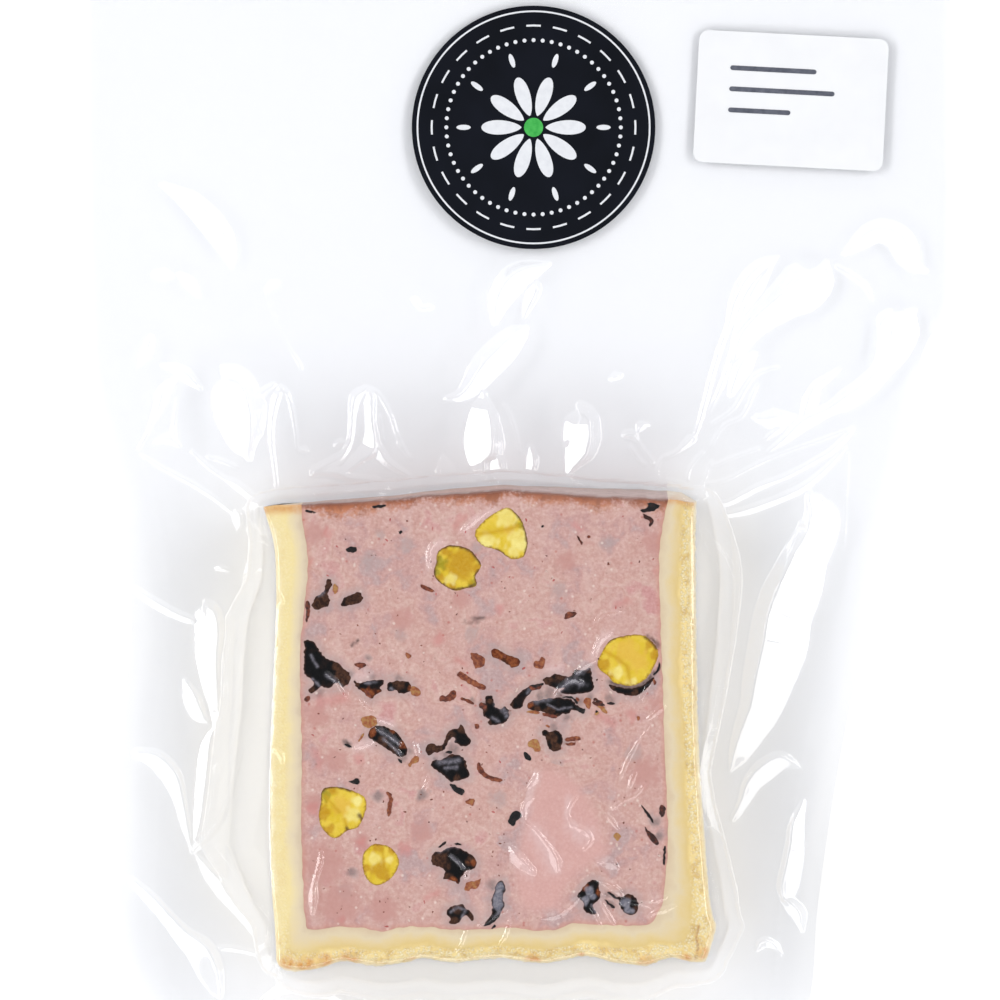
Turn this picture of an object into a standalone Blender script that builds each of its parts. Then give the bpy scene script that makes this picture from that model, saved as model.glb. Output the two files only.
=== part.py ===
"""A slice of pate en croute lying on its cut face in a clear vacuum bag. Metres, +Z up.

X runs across the bag and Y towards its mouth. The origin is under the middle of the bag's outline, on the surface
that the pack lies on. Lengths below are in millimetres and are turned into metres as each mesh is made.
"""

import math
import random

import bmesh
import bpy

MM = 0.001

# Pieces that touch keep this clearance
GAP = 0.35

# The bag's film under the slice, and the slice above it
FLOOR_SKIN = 0.6
SLICE_THICKNESS = 20.0
SLICE_BASE = FLOOR_SKIN + GAP
SLICE_TOP = SLICE_BASE + SLICE_THICKNESS

# The slice's outline where it is widest, at its base
SLICE_LEFT = -51.0
SLICE_RIGHT_TOP = 36.8
SLICE_RIGHT_BOTTOM = 39.2
SLICE_BOTTOM = -99.3
TIP_LEFT_Y = -4.8
TIP_RIGHT_Y = -3.4
TOP_ARCH = 1.9
OUTER_CORNER = 3.4

# The pastry's inner edge, where the meat begins
MEAT_LEFT = -44.6
MEAT_RIGHT = 30.4
MEAT_BOTTOM = -91.6
INNER_CORNER = 1.6

# How far the cut face's edge lies inside the base's edge, and how far it is rounded down, on each side
FLARE = {"left": 0.5, "bottom": 3.0, "right": 2.8, "top": 1.5}
SHOULDER = {"left": 0.7, "bottom": 2.0, "right": 1.9, "top": 0.3}
GROOVE_DEPTH = 0.35
SCALLOP_PITCH = 15.0
SCALLOP_DEPTH = 0.55
CORNER_PINCH = 1.6

SIDE_STEPS = 16
BOTTOM_STEPS = 26
ARC_STEPS = 3
TOP_STEPS = 20

# The bag's outline: each side as a few points (x, y) that a smooth curve goes through
BAG_HALF_WIDTH = 90.2
BAG_HALF_LENGTH = 113.4
BAG_LEFT = [(-BAG_HALF_WIDTH, BAG_HALF_LENGTH), (-BAG_HALF_WIDTH, 80), (-BAG_HALF_WIDTH, 45), (-90.0, 32),
            (-88.6, 16), (-83.4, -4), (-80.9, -20), (-80.8, -34), (-82.6, -50), (-83.0, -77), (-84.0, -90),
            (-82.6, -99)]
BAG_RIGHT = [(BAG_HALF_WIDTH, BAG_HALF_LENGTH), (BAG_HALF_WIDTH, 80), (BAG_HALF_WIDTH, 45), (89.4, 36),
             (84.2, 27), (79.4, 5), (76.0, -9), (72.0, -32), (68.0, -52), (64.6, -72), (62.2, -90), (61.4, -103)]
BAG_BOTTOM_LEFT = (-71.0, -112.4)
BAG_BOTTOM_RIGHT = (54.0, -112.4)

# The two plies pressed together, and how they stand round the slice
PLIES = 0.8
RIM_HEIGHT = 0.9
FLANGE_RISE = 7.4
FLANGE_FALL = 24.0
SWELL = 0.45
TENT = {"left": 10.5, "bottom": 6.5, "right": 7.5, "top": 9.0}
TENT_ROWS = (0.0, 0.22, 0.5, 1.0)
FLANGE_ROWS = 9

# Folds in the film: start x, y, end x, y, height and half width
FOLDS = [
    (-53, -2, -79, 9, 3.2, 3.0),
    (-52, 0, -71, 21, 2.6, 3.2),
    (-50, 0, -49, 21, 3.4, 2.8),
    (-33, 2, -32, 19, 2.4, 3.6),
    (-9, 3, -6, 19, 2.4, 4.0),
    (9, 2, 12, 13, 1.6, 3.0),
    (27, 2, 23, 12, 1.2, 2.6),
    (38, 0, 54, 46, 3.2, 3.6),
    (39, -2, 79, 22, 3.0, 3.8),
    (40, -5, 74, 8, 2.2, 3.2),
    (46, -62, 60, -6, 2.6, 4.4),
    (46, -70, 58, -58, 1.6, 3.4),
    (-66, -75, -63, -26, 2.4, 3.8),
    (-67, -75, -53, -97, 2.4, 3.4),
    (-54, -99, -76, -88, 2.0, 3.4),
    (42, -98, 58, -96, 1.8, 3.0),
    (5, 46, -13, 17, 1.2, 4.6),
    (-57, 49, -45, 22, 1.0, 3.6),
]

# The round sticker and the white label on the bag
STICKER_CENTRE = (3.2, 74.4)
STICKER_RADIUS = 25.4
LABEL_CENTRE = (56.9, 80.0)
LABEL_SIZE = (39.6, 27.6)
LABEL_CORNER = 2.2
LABEL_TURN = -3.0
PAPER = 0.4

# Pistachios in the meat: centre x, y, half length, half width, turn in degrees, seed
PISTACHIOS = [
    (-3.4, -10.6, 5.3, 4.5, -25, 11),
    (-12.6, -17.2, 4.8, 4.6, 20, 12),
    (22.6, -35.8, 6.3, 5.1, 12, 13),
    (-36.5, -67.8, 5.2, 4.8, 60, 14),
    (-28.6, -78.4, 4.2, 3.8, 80, 15),
]
PISTACHIO_ROUGHNESS = 0.09
PISTACHIO_SIDES = 16

# Black truffle and mushroom pieces: centre x, y, half length, half width, turn in degrees, seed
TRUFFLES = [
    (-38.8, -38.0, 4.9, 3.4, -43, 21),
    (-30.9, -42.2, 3.0, 1.6, 2, 22),
    (-24.2, -42.2, 2.6, 1.4, -3, 23),
    (-4.6, -46.9, 3.0, 2.0, -62, 24),
    (1.2, -43.6, 3.2, 1.1, 46, 25),
    (10.6, -40.8, 5.0, 1.9, 10, 26),
    (8.2, -46.3, 5.0, 1.4, -4, 27),
    (22.2, -43.4, 3.8, 0.9, 2, 28),
    (-27.2, -52.8, 4.7, 1.9, -38, 29),
    (-13.6, -52.6, 4.1, 1.7, 42, 30),
    (-14.2, -59.2, 3.9, 2.4, -8, 31),
    (7.8, -53.2, 2.6, 1.8, 8, 32),
    (-13.4, -77.6, 4.3, 3.6, 15, 33),
    (-12.6, -87.9, 2.6, 1.9, -10, 34),
    (-5.3, -86.2, 3.7, 1.3, 68, 35),
    (15.2, -85.6, 3.2, 1.7, 76, 36),
    (23.0, -86.6, 2.2, 2.0, 0, 37),
    (-40.2, -22.6, 2.7, 1.4, 58, 38),
    (-34.4, -23.6, 2.3, 1.5, 22, 39),
    (-2.6, -35.6, 3.1, 0.9, -28, 40),
]
TRUFFLE_ROUGHNESS = 0.2
TRUFFLE_SIDES = 12
BASE_SHRINK = 0.84

# The smooth lean piece low in the meat, as points that a closed smooth curve goes through
LEAN_PIECE = [(4.2, -57.9), (9.9, -58.6), (15.0, -63.2), (18.2, -69.8), (19.6, -76.8), (15.4, -80.4),
              (11.0, -84.6), (8.8, -89.4), (2.6, -89.8), (-1.0, -87.4), (-2.4, -79.6), (-1.2, -72.4), (1.4, -64.0)]
LEAN_SIDES = 36


def lerp(a, b, t):
    return a + (b - a) * t


def smooth_curve(points, steps, closed=False):
    """Points evenly spaced along a Catmull-Rom curve through points."""
    spans = len(points) if closed else len(points) - 1
    dense = []
    per_span = 24
    for span in range(spans):
        ends = [(span + offset) % len(points) if closed else min(max(span + offset, 0), len(points) - 1)
                for offset in (-1, 0, 1, 2)]
        p = [points[i] for i in ends]
        for k in range(per_span):
            t = k / per_span
            dense.append(tuple(
                0.5 * (2 * p[1][axis] + (p[2][axis] - p[0][axis]) * t
                       + (2 * p[0][axis] - 5 * p[1][axis] + 4 * p[2][axis] - p[3][axis]) * t * t
                       + (3 * p[1][axis] - p[0][axis] - 3 * p[2][axis] + p[3][axis]) * t ** 3)
                for axis in (0, 1)))
    dense.append(points[0] if closed else points[-1])
    lengths = [0.0]
    for a, b in zip(dense, dense[1:]):
        lengths.append(lengths[-1] + math.dist(a, b))
    wanted = steps if closed else steps + 1
    spaced, place = [], 0
    for k in range(wanted):
        target = lengths[-1] * k / steps
        while place < len(lengths) - 2 and lengths[place + 1] < target:
            place += 1
        t = (target - lengths[place]) / max(lengths[place + 1] - lengths[place], 1e-9)
        spaced.append((lerp(dense[place][0], dense[place + 1][0], t), lerp(dense[place][1], dense[place + 1][1], t)))
    return spaced


def outward(points, index):
    """The unit normal of a counterclockwise outline at one of its points."""
    before = points[(index - 1) % len(points)]
    after = points[(index + 1) % len(points)]
    dx, dy = after[0] - before[0], after[1] - before[1]
    length = math.hypot(dx, dy)
    return dy / length, -dx / length


def offset_outline(points, distance):
    """A closed outline moved outwards by distance."""
    moved = []
    for index, (x, y) in enumerate(points):
        nx, ny = outward(points, index)
        moved.append((x + nx * distance, y + ny * distance))
    return moved


def pastry_path(left, right_top, right_bottom, bottom, corner, tip_left_y, tip_right_y):
    """A U from the left tip, down, along the bottom and up to the right tip, with the side that each point is on."""
    path = []
    for k in range(SIDE_STEPS):
        path.append((left, lerp(tip_left_y, bottom + corner, k / SIDE_STEPS), "left"))
    for k in range(ARC_STEPS + 1):
        angle = math.pi + math.pi / 2 * k / ARC_STEPS
        side = "left" if k < ARC_STEPS / 2 else "bottom"
        path.append((left + corner + corner * math.cos(angle), bottom + corner + corner * math.sin(angle), side))
    for k in range(1, BOTTOM_STEPS):
        path.append((lerp(left + corner, right_bottom - corner, k / BOTTOM_STEPS), bottom, "bottom"))
    for k in range(ARC_STEPS + 1):
        angle = 1.5 * math.pi + math.pi / 2 * k / ARC_STEPS
        side = "bottom" if k < ARC_STEPS / 2 else "right"
        path.append((right_bottom - corner + corner * math.cos(angle),
                     bottom + corner + corner * math.sin(angle), side))
    for k in range(1, SIDE_STEPS + 1):
        t = k / SIDE_STEPS
        path.append((lerp(right_bottom, right_top, t), lerp(bottom + corner, tip_right_y, t), "right"))
    return path


def outer_pastry():
    """The pastry's outer edge at its base, with the baked edge's waves."""
    path = pastry_path(SLICE_LEFT, SLICE_RIGHT_TOP, SLICE_RIGHT_BOTTOM, SLICE_BOTTOM, OUTER_CORNER,
                       TIP_LEFT_Y, TIP_RIGHT_Y)
    waved = []
    for x, y, side in path:
        if side == "bottom":
            y += SCALLOP_DEPTH * math.sin(2 * math.pi * (x - 4) / SCALLOP_PITCH)
            y -= CORNER_PINCH * 0.3 * math.exp(-((x - SLICE_LEFT - 5) / 5) ** 2)
        elif side == "left":
            x += 0.7 * math.exp(-((y + 38) / 15) ** 2) + 0.8 * math.exp(-((y - SLICE_BOTTOM) / 9) ** 2)
        else:
            x += 0.25 * math.sin(y / 6.0)
        pinch = CORNER_PINCH * math.exp(-((y - SLICE_BOTTOM - 7) / 5) ** 2)
        if side == "right":
            x += pinch
        waved.append((x, y, side))
    return waved


def inner_pastry():
    return pastry_path(MEAT_LEFT, MEAT_RIGHT, MEAT_RIGHT, MEAT_BOTTOM, INNER_CORNER, TIP_LEFT_Y, TIP_RIGHT_Y)


def top_edge(left, right, steps):
    """The arched upper edge from right to left, without its end points. left and right are (x, y)."""
    edge = []
    for k in range(1, steps):
        t = k / steps
        arch = TOP_ARCH * math.sin(math.pi * t) ** 0.8
        edge.append((lerp(right[0], left[0], t), lerp(right[1], left[1], t) + arch + 0.25 * math.sin(t * 17)))
    return edge


def slice_outline(share):
    """The whole slice's outline: share 0 is its base and 1 its cut face, with the side that each point is on."""
    outer, inner = outer_pastry(), inner_pastry()
    outline = []
    for (x, y, side), (ix, iy, _) in zip(outer, inner):
        length = math.hypot(x - ix, y - iy)
        inset = FLARE[side] * share
        outline.append((x + (ix - x) / length * inset, y + (iy - y) / length * inset, side))
    right, left = outline[-1], outline[0]
    lift = FLARE["top"] * (1 - share)
    outline = [(x, y + lift * (index in (0, len(outline) - 1)), side) for index, (x, y, side) in enumerate(outline)]
    for x, y in top_edge(left[:2], right[:2], TOP_STEPS):
        outline.append((x, y + lift, "top"))
    return outline


def side_mix(outline, values):
    """A value for each point of an outline, from its side and its neighbours' sides."""
    raw = [values[side] for _, _, side in outline]
    count = len(raw)
    return [sum(raw[(i + k) % count] for k in (-2, -1, 0, 1, 2)) / 5 for i in range(count)]


def slice_distance(x, y):
    """How far a point lies outside the slice."""
    dx = max(SLICE_LEFT - x, 0, x - SLICE_RIGHT_BOTTOM)
    dy = max(SLICE_BOTTOM - y, 0, y - (TIP_RIGHT_Y + TOP_ARCH))
    return math.hypot(dx, dy)


def fold_height(x, y):
    """The folds' height at a point: rounded ridges that die away at both ends."""
    height = 0.0
    for x0, y0, x1, y1, rise, width in FOLDS:
        length = math.hypot(x1 - x0, y1 - y0)
        ux, uy = (x1 - x0) / length, (y1 - y0) / length
        along = ((x - x0) * ux + (y - y0) * uy) / length
        across = (x - x0) * -uy + (y - y0) * ux
        if -0.15 < along < 1.15:
            taper = math.sin(math.pi * (along + 0.15) / 1.3)
            height += rise * taper * math.exp(-(across / width) ** 2)
    return height


def film_middle(x, y):
    """The height of the two plies' middle surface away from the slice."""
    sag = RIM_HEIGHT + FLANGE_RISE * math.exp(-slice_distance(x, y) / FLANGE_FALL)
    swell = SWELL * (1 + 0.6 * math.sin(x / 13.0 + 0.6) * math.cos(y / 17.0) + 0.4 * math.sin((x + y) / 21.0))
    return sag + swell + fold_height(x, y)


def bag_outline():
    """The bag's outline with as many points on each stretch as slice_outline has."""
    left = smooth_curve(BAG_LEFT, SIDE_STEPS)
    right = smooth_curve(BAG_RIGHT, SIDE_STEPS)
    outline = left[:-1]
    outline += smooth_curve([left[-1], (left[-1][0] + 3.4, left[-1][1] - 7.6), BAG_BOTTOM_LEFT], ARC_STEPS)
    dip = BAG_HALF_LENGTH + BAG_BOTTOM_LEFT[1]
    for k in range(1, BOTTOM_STEPS):
        t = k / BOTTOM_STEPS
        outline.append((lerp(BAG_BOTTOM_LEFT[0], BAG_BOTTOM_RIGHT[0], t),
                        BAG_BOTTOM_LEFT[1] - dip * math.sin(math.pi * t)))
    outline += smooth_curve([BAG_BOTTOM_RIGHT, (right[-1][0] - 1.4, right[-1][1] - 6.2), right[-1]], ARC_STEPS)
    outline += right[-2::-1]
    for k in range(1, TOP_STEPS):
        outline.append((lerp(BAG_HALF_WIDTH, -BAG_HALF_WIDTH, k / TOP_STEPS), BAG_HALF_LENGTH))
    return outline


def new_material(name, colour, roughness, alpha=1.0):
    material = bpy.data.materials.new(name)
    material.use_nodes = True
    shader = material.node_tree.nodes["Principled BSDF"]
    shader.inputs["Base Color"].default_value = (*colour, 1.0)
    shader.inputs["Roughness"].default_value = roughness
    shader.inputs["Metallic"].default_value = 0.0
    shader.inputs["Alpha"].default_value = alpha
    return material


def new_object(name, bm, material, smooth_angle=None):
    """Turns a bmesh in millimetres into a named object in metres."""
    bmesh.ops.scale(bm, vec=(MM, MM, MM), verts=bm.verts)
    mesh = bpy.data.meshes.new(name)
    bm.to_mesh(mesh)
    bm.free()
    if smooth_angle is not None:
        mesh.shade_smooth()
        mesh.set_sharp_from_angle(angle=math.radians(smooth_angle))
    obj = bpy.data.objects.new(name, mesh)
    bpy.context.scene.collection.objects.link(obj)
    if material is not None:
        mesh.materials.append(material)
    return obj


def bridge(bm, ring_a, ring_b):
    """Quads between two counterclockwise rings. They face outwards where ring_b is above ring_a."""
    count = len(ring_a)
    for i in range(count):
        j = (i + 1) % count
        bm.faces.new((ring_a[i], ring_a[j], ring_b[j], ring_b[i]))


def add_ring(bm, points):
    return [bm.verts.new(p) for p in points]


def cap(bm, ring, up):
    """Closes a counterclockwise ring with faces that look up or down."""
    face = bm.faces.new(ring if up else ring[::-1])
    bmesh.ops.triangulate(bm, faces=[face], ngon_method="EAR_CLIP")


def wall_levels(shoulder):
    """Heights at which the slice's outer wall has a ring, as (height, share of the flare)."""
    rim = SLICE_TOP - shoulder
    return [(SLICE_BASE, 0.0), (lerp(SLICE_BASE, rim, 0.4), 0.28), (lerp(SLICE_BASE, rim, 0.75), 0.66), (rim, 1.0)]


def build_bag():
    """The sealed bag: film under and round the slice, drawn down to two plies pressed together, open over it."""
    base, face = slice_outline(0.0), slice_outline(1.0)
    shoulders = side_mix(base, SHOULDER)
    tents = side_mix(base, TENT)
    base_points = offset_outline([p[:2] for p in base], GAP * 1.25)
    face_points = offset_outline([p[:2] for p in face], GAP * 1.25)
    edge = bag_outline()
    count = len(edge)

    def radial(index, start, distance_share, row):
        """A point from the slice towards the bag's edge: the tent's rows first, and then the flange's."""
        ex, ey = edge[index]
        length = math.hypot(ex - start[0], ey - start[1])
        tent = min(tents[index], length * 0.5)
        if row < len(TENT_ROWS):
            along = tent * TENT_ROWS[row]
        else:
            along = lerp(tent, length, distance_share)
        t = along / length
        return lerp(start[0], ex, t), lerp(start[1], ey, t), min(along / tent, 1.0)

    bm = bmesh.new()
    rows = len(TENT_ROWS) + FLANGE_ROWS
    upper, lower = [], []
    for row in range(rows):
        share = ((row - len(TENT_ROWS) + 1) / FLANGE_ROWS) ** 1.25 if row >= len(TENT_ROWS) else 0.0
        top_ring, low_ring = [], []
        for i in range(count):
            x, y, tented = radial(i, face_points[i], share, row)
            rim = SLICE_TOP - shoulders[i]
            flat = film_middle(x, y) + PLIES / 2
            top_ring.append((x, y, flat + max(rim - flat, 0) * (1 - tented) ** 1.7))
            x, y, tented = radial(i, base_points[i], share, row)
            top_ring_limit = film_middle(x, y) - PLIES / 2
            low_ring.append((x, y, top_ring_limit * tented ** 1.3))
        upper.append(add_ring(bm, top_ring))
        lower.append(add_ring(bm, low_ring))
    for a, b in zip(upper, upper[1:]):
        bridge(bm, b, a)
    for a, b in zip(lower, lower[1:]):
        bridge(bm, a, b)
    bridge(bm, lower[-1], upper[-1])
    cap(bm, lower[0], False)

    above = upper[0]
    for level in (2, 1, 0):
        points = []
        for i in range(count):
            height, flare = wall_levels(shoulders[i])[level]
            height = FLOOR_SKIN if level == 0 else height
            points.append((lerp(base_points[i][0], face_points[i][0], flare),
                           lerp(base_points[i][1], face_points[i][1], flare), height))
        ring = add_ring(bm, points)
        bridge(bm, above, ring)
        above = ring
    cap(bm, above, True)
    return new_object("vacuum_bag", bm, new_material("clear_film", (0.86, 0.88, 0.93), 0.12, 0.35), 40)


def build_pastry():
    """The pastry case: a U-shaped strip of baked dough, thicker at the foot, with a groove along its cut face."""
    outer, inner = outer_pastry(), inner_pastry()
    whole = slice_outline(0.0)
    shoulders = side_mix(whole, SHOULDER)[:len(outer)]
    base, face = slice_outline(0.0), slice_outline(1.0)
    bm = bmesh.new()
    sections = []
    for i in range(len(outer)):
        ix, iy, _ = inner[i]
        fx, fy, _ = face[i]
        if i in (0, len(outer) - 1):
            fy, iy = face[i][1], face[i][1]
        bx, by, _ = base[i]
        section = [(ix, iy + (by - fy) * (i in (0, len(outer) - 1)), SLICE_BASE)]
        for height, flare in wall_levels(shoulders[i]):
            section.append((lerp(bx, fx, flare), lerp(by, fy, flare), height))
        for across, drop in ((0.84, shoulders[i] * 0.3), (0.6, GROOVE_DEPTH), (0.34, 0.0), (0.0, 0.0)):
            section.append((lerp(ix, fx, across), lerp(iy, fy, across), SLICE_TOP - drop))
        sections.append(add_ring(bm, section))
    for a, b in zip(sections, sections[1:]):
        bridge(bm, b, a)
    cap(bm, sections[0], True)
    cap(bm, sections[-1], False)
    return new_object("pastry_crust", bm, new_material("baked_pastry", (0.86, 0.70, 0.40), 0.6), 35)


def meat_outline(share):
    """The meat's outline inside the pastry: share 0 is its base and 1 its cut face."""
    inner = [(x, y) for x, y, _ in inner_pastry()]
    whole = [(x, y) for x, y, _ in slice_outline(share)]
    left, right = whole[0], whole[len(inner) - 1]
    inner[0] = (inner[0][0], left[1])
    inner[-1] = (inner[-1][0], right[1])
    outline = offset_outline(inner, -GAP)
    outline[0] = (MEAT_LEFT + GAP, left[1] + 0.1)
    outline[-1] = (MEAT_RIGHT - GAP, right[1] + 0.1)
    for x, y in whole[len(inner):]:
        if outline[0][0] + 1.0 < x < outline[-1][0] - 1.0:
            outline.append((x, y))
    return outline


def blob(centre_x, centre_y, half_length, half_width, turn, seed, sides, roughness, grow=0.0):
    """An uneven rounded outline."""
    draw = random.Random(seed)
    phases = [draw.uniform(0, 2 * math.pi) for _ in range(3)]
    angle = math.radians(turn)
    outline = []
    for k in range(sides):
        a = 2 * math.pi * k / sides
        uneven = 1 + roughness * (0.5 * math.sin(2 * a + phases[0]) + 0.4 * math.sin(3 * a + phases[1])
                                  + 0.3 * math.sin(5 * a + phases[2]))
        u = (half_length + grow) * uneven * math.cos(a)
        v = (half_width + grow) * uneven * math.sin(a)
        outline.append((centre_x + u * math.cos(angle) - v * math.sin(angle),
                        centre_y + u * math.sin(angle) + v * math.cos(angle)))
    return outline


def shrunk(outline, factor):
    cx = sum(x for x, _ in outline) / len(outline)
    cy = sum(y for _, y in outline) / len(outline)
    return [(cx + (x - cx) * factor, cy + (y - cy) * factor) for x, y in outline]


def loft(bm, outlines):
    """A closed body from (outline, height) pairs, from the lowest up."""
    rings = [add_ring(bm, [(x, y, z) for x, y in outline]) for outline, z in outlines]
    for a, b in zip(rings, rings[1:]):
        bridge(bm, a, b)
    cap(bm, rings[0], False)
    cap(bm, rings[-1], True)


def inclusion_levels(outline, grow=0.0):
    """A piece that runs through the slice and narrows towards its back. grow above 0 makes its pocket."""
    middle = lerp(SLICE_BASE, SLICE_TOP, 0.5)
    foot = shrunk(outline, BASE_SHRINK)
    waist = shrunk(outline, lerp(BASE_SHRINK, 1.0, 0.6))
    if grow == 0.0:
        return [(foot, SLICE_BASE), (waist, middle), (outline, SLICE_TOP)]
    outline, waist, foot = (offset_outline(o, grow) for o in (outline, waist, foot))
    return [(foot, SLICE_BASE - 1), (foot, SLICE_BASE), (waist, middle), (outline, SLICE_TOP), (outline, SLICE_TOP + 1)]


def inclusions():
    """Every piece set in the meat, as (name, outline, material)."""
    kernel = new_material("pistachio", (0.76, 0.60, 0.12), 0.45)
    truffle = new_material("black_truffle", (0.03, 0.025, 0.025), 0.35)
    lean = new_material("lean_meat", (0.80, 0.45, 0.42), 0.45)
    found = []
    for number, values in enumerate(PISTACHIOS, 1):
        found.append((f"pistachio_{number}", blob(*values, PISTACHIO_SIDES, PISTACHIO_ROUGHNESS), kernel))
    for number, values in enumerate(TRUFFLES, 1):
        found.append((f"truffle_{number:02d}", blob(*values, TRUFFLE_SIDES, TRUFFLE_ROUGHNESS), truffle))
    outline = smooth_curve(LEAN_PIECE, LEAN_SIDES, closed=True)[::-1]
    found.append(("lean_piece", outline, lean))
    return found


def build_meat():
    """The forcemeat with a pocket for each piece, and the pieces."""
    pieces = inclusions()
    pockets = bmesh.new()
    for name, outline, material in pieces:
        bm = bmesh.new()
        loft(bm, inclusion_levels(outline))
        new_object(name, bm, material, 40)
        loft(pockets, inclusion_levels(outline, GAP))
    cutter = new_object("pocket_cutter", pockets, None)
    cutter.hide_render = True
    cutter.display_type = "WIRE"

    bm = bmesh.new()
    loft(bm, [(meat_outline(0.0), SLICE_BASE), (meat_outline(0.5), lerp(SLICE_BASE, SLICE_TOP, 0.5)),
              (meat_outline(1.0), SLICE_TOP)])
    meat = new_object("forcemeat", bm, new_material("pink_forcemeat", (0.62, 0.38, 0.35), 0.5), 40)
    cut = meat.modifiers.new("pockets", "BOOLEAN")
    cut.operation = "DIFFERENCE"
    cut.solver = "EXACT"
    cut.object = cutter


def on_film(points, lift):
    return [(x, y, film_middle(x, y) + PLIES / 2 + lift) for x, y in points]


def build_patch(name, outlines, centre, material):
    """A thin piece of paper that follows the film: rings from its middle outwards."""
    bm = bmesh.new()
    edges = []
    for lift in (GAP, GAP + PAPER):
        middle = bm.verts.new(on_film([centre], lift)[0])
        rings = [add_ring(bm, on_film(points, lift)) for points in outlines]
        if lift > GAP:
            for i, vertex in enumerate(rings[0]):
                bm.faces.new((middle, rings[0][i - 1], vertex))
            for a, b in zip(rings, rings[1:]):
                bridge(bm, b, a)
        else:
            for i, vertex in enumerate(rings[0]):
                bm.faces.new((vertex, rings[0][i - 1], middle))
            for a, b in zip(rings, rings[1:]):
                bridge(bm, a, b)
        edges.append(rings[-1])
    bridge(bm, *edges)
    return new_object(name, bm, material, 40)


def build_labels():
    rings, sides = 4, 28
    circles = [[(STICKER_CENTRE[0] + STICKER_RADIUS * (r + 1) / rings * math.cos(2 * math.pi * k / sides),
                 STICKER_CENTRE[1] + STICKER_RADIUS * (r + 1) / rings * math.sin(2 * math.pi * k / sides))
                for k in range(sides)] for r in range(rings)]
    build_patch("round_sticker", circles, STICKER_CENTRE, new_material("black_sticker", (0.008, 0.01, 0.016), 0.35))

    turn = math.radians(LABEL_TURN)
    half = [side / 2 - LABEL_CORNER for side in LABEL_SIZE]
    outline = []
    steps = 3
    for quarter, (sx, sy) in enumerate(((1, 1), (-1, 1), (-1, -1), (1, -1))):
        for k in range(steps + 1):
            a = math.pi / 2 * (quarter + k / steps)
            outline.append((sx * half[0] + LABEL_CORNER * math.cos(a), sy * half[1] + LABEL_CORNER * math.sin(a)))
        ahead = ((-1, 1), (-1, -1), (1, -1), (1, 1))[quarter]
        last, following = outline[-1], (ahead[0] * half[0], ahead[1] * half[1])
        for k in range(1, 4):
            along_x = sx != ahead[0]
            outline.append((lerp(last[0], following[0], k / 4) if along_x else last[0],
                            last[1] if along_x else lerp(last[1], following[1], k / 4)))

    def placed(scale):
        return [(LABEL_CENTRE[0] + scale * (x * math.cos(turn) - y * math.sin(turn)),
                 LABEL_CENTRE[1] + scale * (x * math.sin(turn) + y * math.cos(turn))) for x, y in outline]
    build_patch("white_label", [placed(s / 3) for s in (1, 2, 3)], LABEL_CENTRE,
                new_material("white_paper", (0.93, 0.94, 0.96), 0.5))


def main():
    for obj in list(bpy.data.objects):
        bpy.data.objects.remove(obj)
    build_bag()
    build_pastry()
    build_meat()
    build_labels()


main()
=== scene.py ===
import math
import random

import bmesh
import bpy
import numpy as np
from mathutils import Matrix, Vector, kdtree
from mathutils.geometry import delaunay_2d_cdt


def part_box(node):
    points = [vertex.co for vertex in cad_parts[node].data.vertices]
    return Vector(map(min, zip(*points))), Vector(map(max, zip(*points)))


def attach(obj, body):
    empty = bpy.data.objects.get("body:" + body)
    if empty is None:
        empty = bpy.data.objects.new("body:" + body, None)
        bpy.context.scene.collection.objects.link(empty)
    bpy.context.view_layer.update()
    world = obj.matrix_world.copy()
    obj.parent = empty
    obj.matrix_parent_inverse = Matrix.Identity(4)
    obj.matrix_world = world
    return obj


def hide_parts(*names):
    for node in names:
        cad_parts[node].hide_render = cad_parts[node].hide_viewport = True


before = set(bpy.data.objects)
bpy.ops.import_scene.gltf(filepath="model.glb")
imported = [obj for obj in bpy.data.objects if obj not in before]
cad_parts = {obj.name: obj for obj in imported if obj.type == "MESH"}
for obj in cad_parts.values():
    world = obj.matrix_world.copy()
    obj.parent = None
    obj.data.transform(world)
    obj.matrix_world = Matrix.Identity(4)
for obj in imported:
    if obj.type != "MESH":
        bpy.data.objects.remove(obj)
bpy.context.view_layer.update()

mm = 0.001


# Small helpers for curves, outlines and meshes. All of them work in millimetres


def boxOf(node):
    low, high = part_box(node)
    return np.array(low) / mm, np.array(high) / mm


def smoothPath(points, spacing, closed=False):
    # Catmull-Rom through the points, sampled evenly
    points = np.asarray(points, float)
    count = len(points)
    spans = count if closed else count - 1
    t = np.linspace(0, 1, 24, endpoint=False)[:, None]
    dense = []
    for span in range(spans):
        ids = [(span + k) % count if closed else min(max(span + k, 0), count - 1) for k in (-1, 0, 1, 2)]
        a, b, c, d = points[ids]
        square, cube = 2 * a - 5 * b + 4 * c - d, 3 * b - a - 3 * c + d
        dense.append(0.5 * (2 * b + (c - a) * t + square * t ** 2 + cube * t ** 3))
    dense.append(points[:1] if closed else points[-1:])
    dense = np.concatenate(dense)
    along = np.concatenate([[0], np.cumsum(np.hypot(*np.diff(dense, axis=0).T))])
    steps = max(3, round(along[-1] / spacing))
    wanted = np.linspace(0, along[-1], steps + 1)
    if closed:
        wanted = wanted[:-1]
    return np.stack([np.interp(wanted, along, dense[:, k]) for k in range(points.shape[1])], axis=1)


def insideLoop(loop, points):
    # even-odd test of many points against one closed loop
    x, y = points[:, 0], points[:, 1]
    hit = np.zeros(len(points), bool)
    for (x0, y0), (x1, y1) in zip(loop, np.roll(loop, -1, axis=0)):
        if y0 != y1:
            crosses = (y0 > y) != (y1 > y)
            hit ^= crosses & (x < (x1 - x0) * (y - y0) / (y1 - y0) + x0)
    return hit


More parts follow.
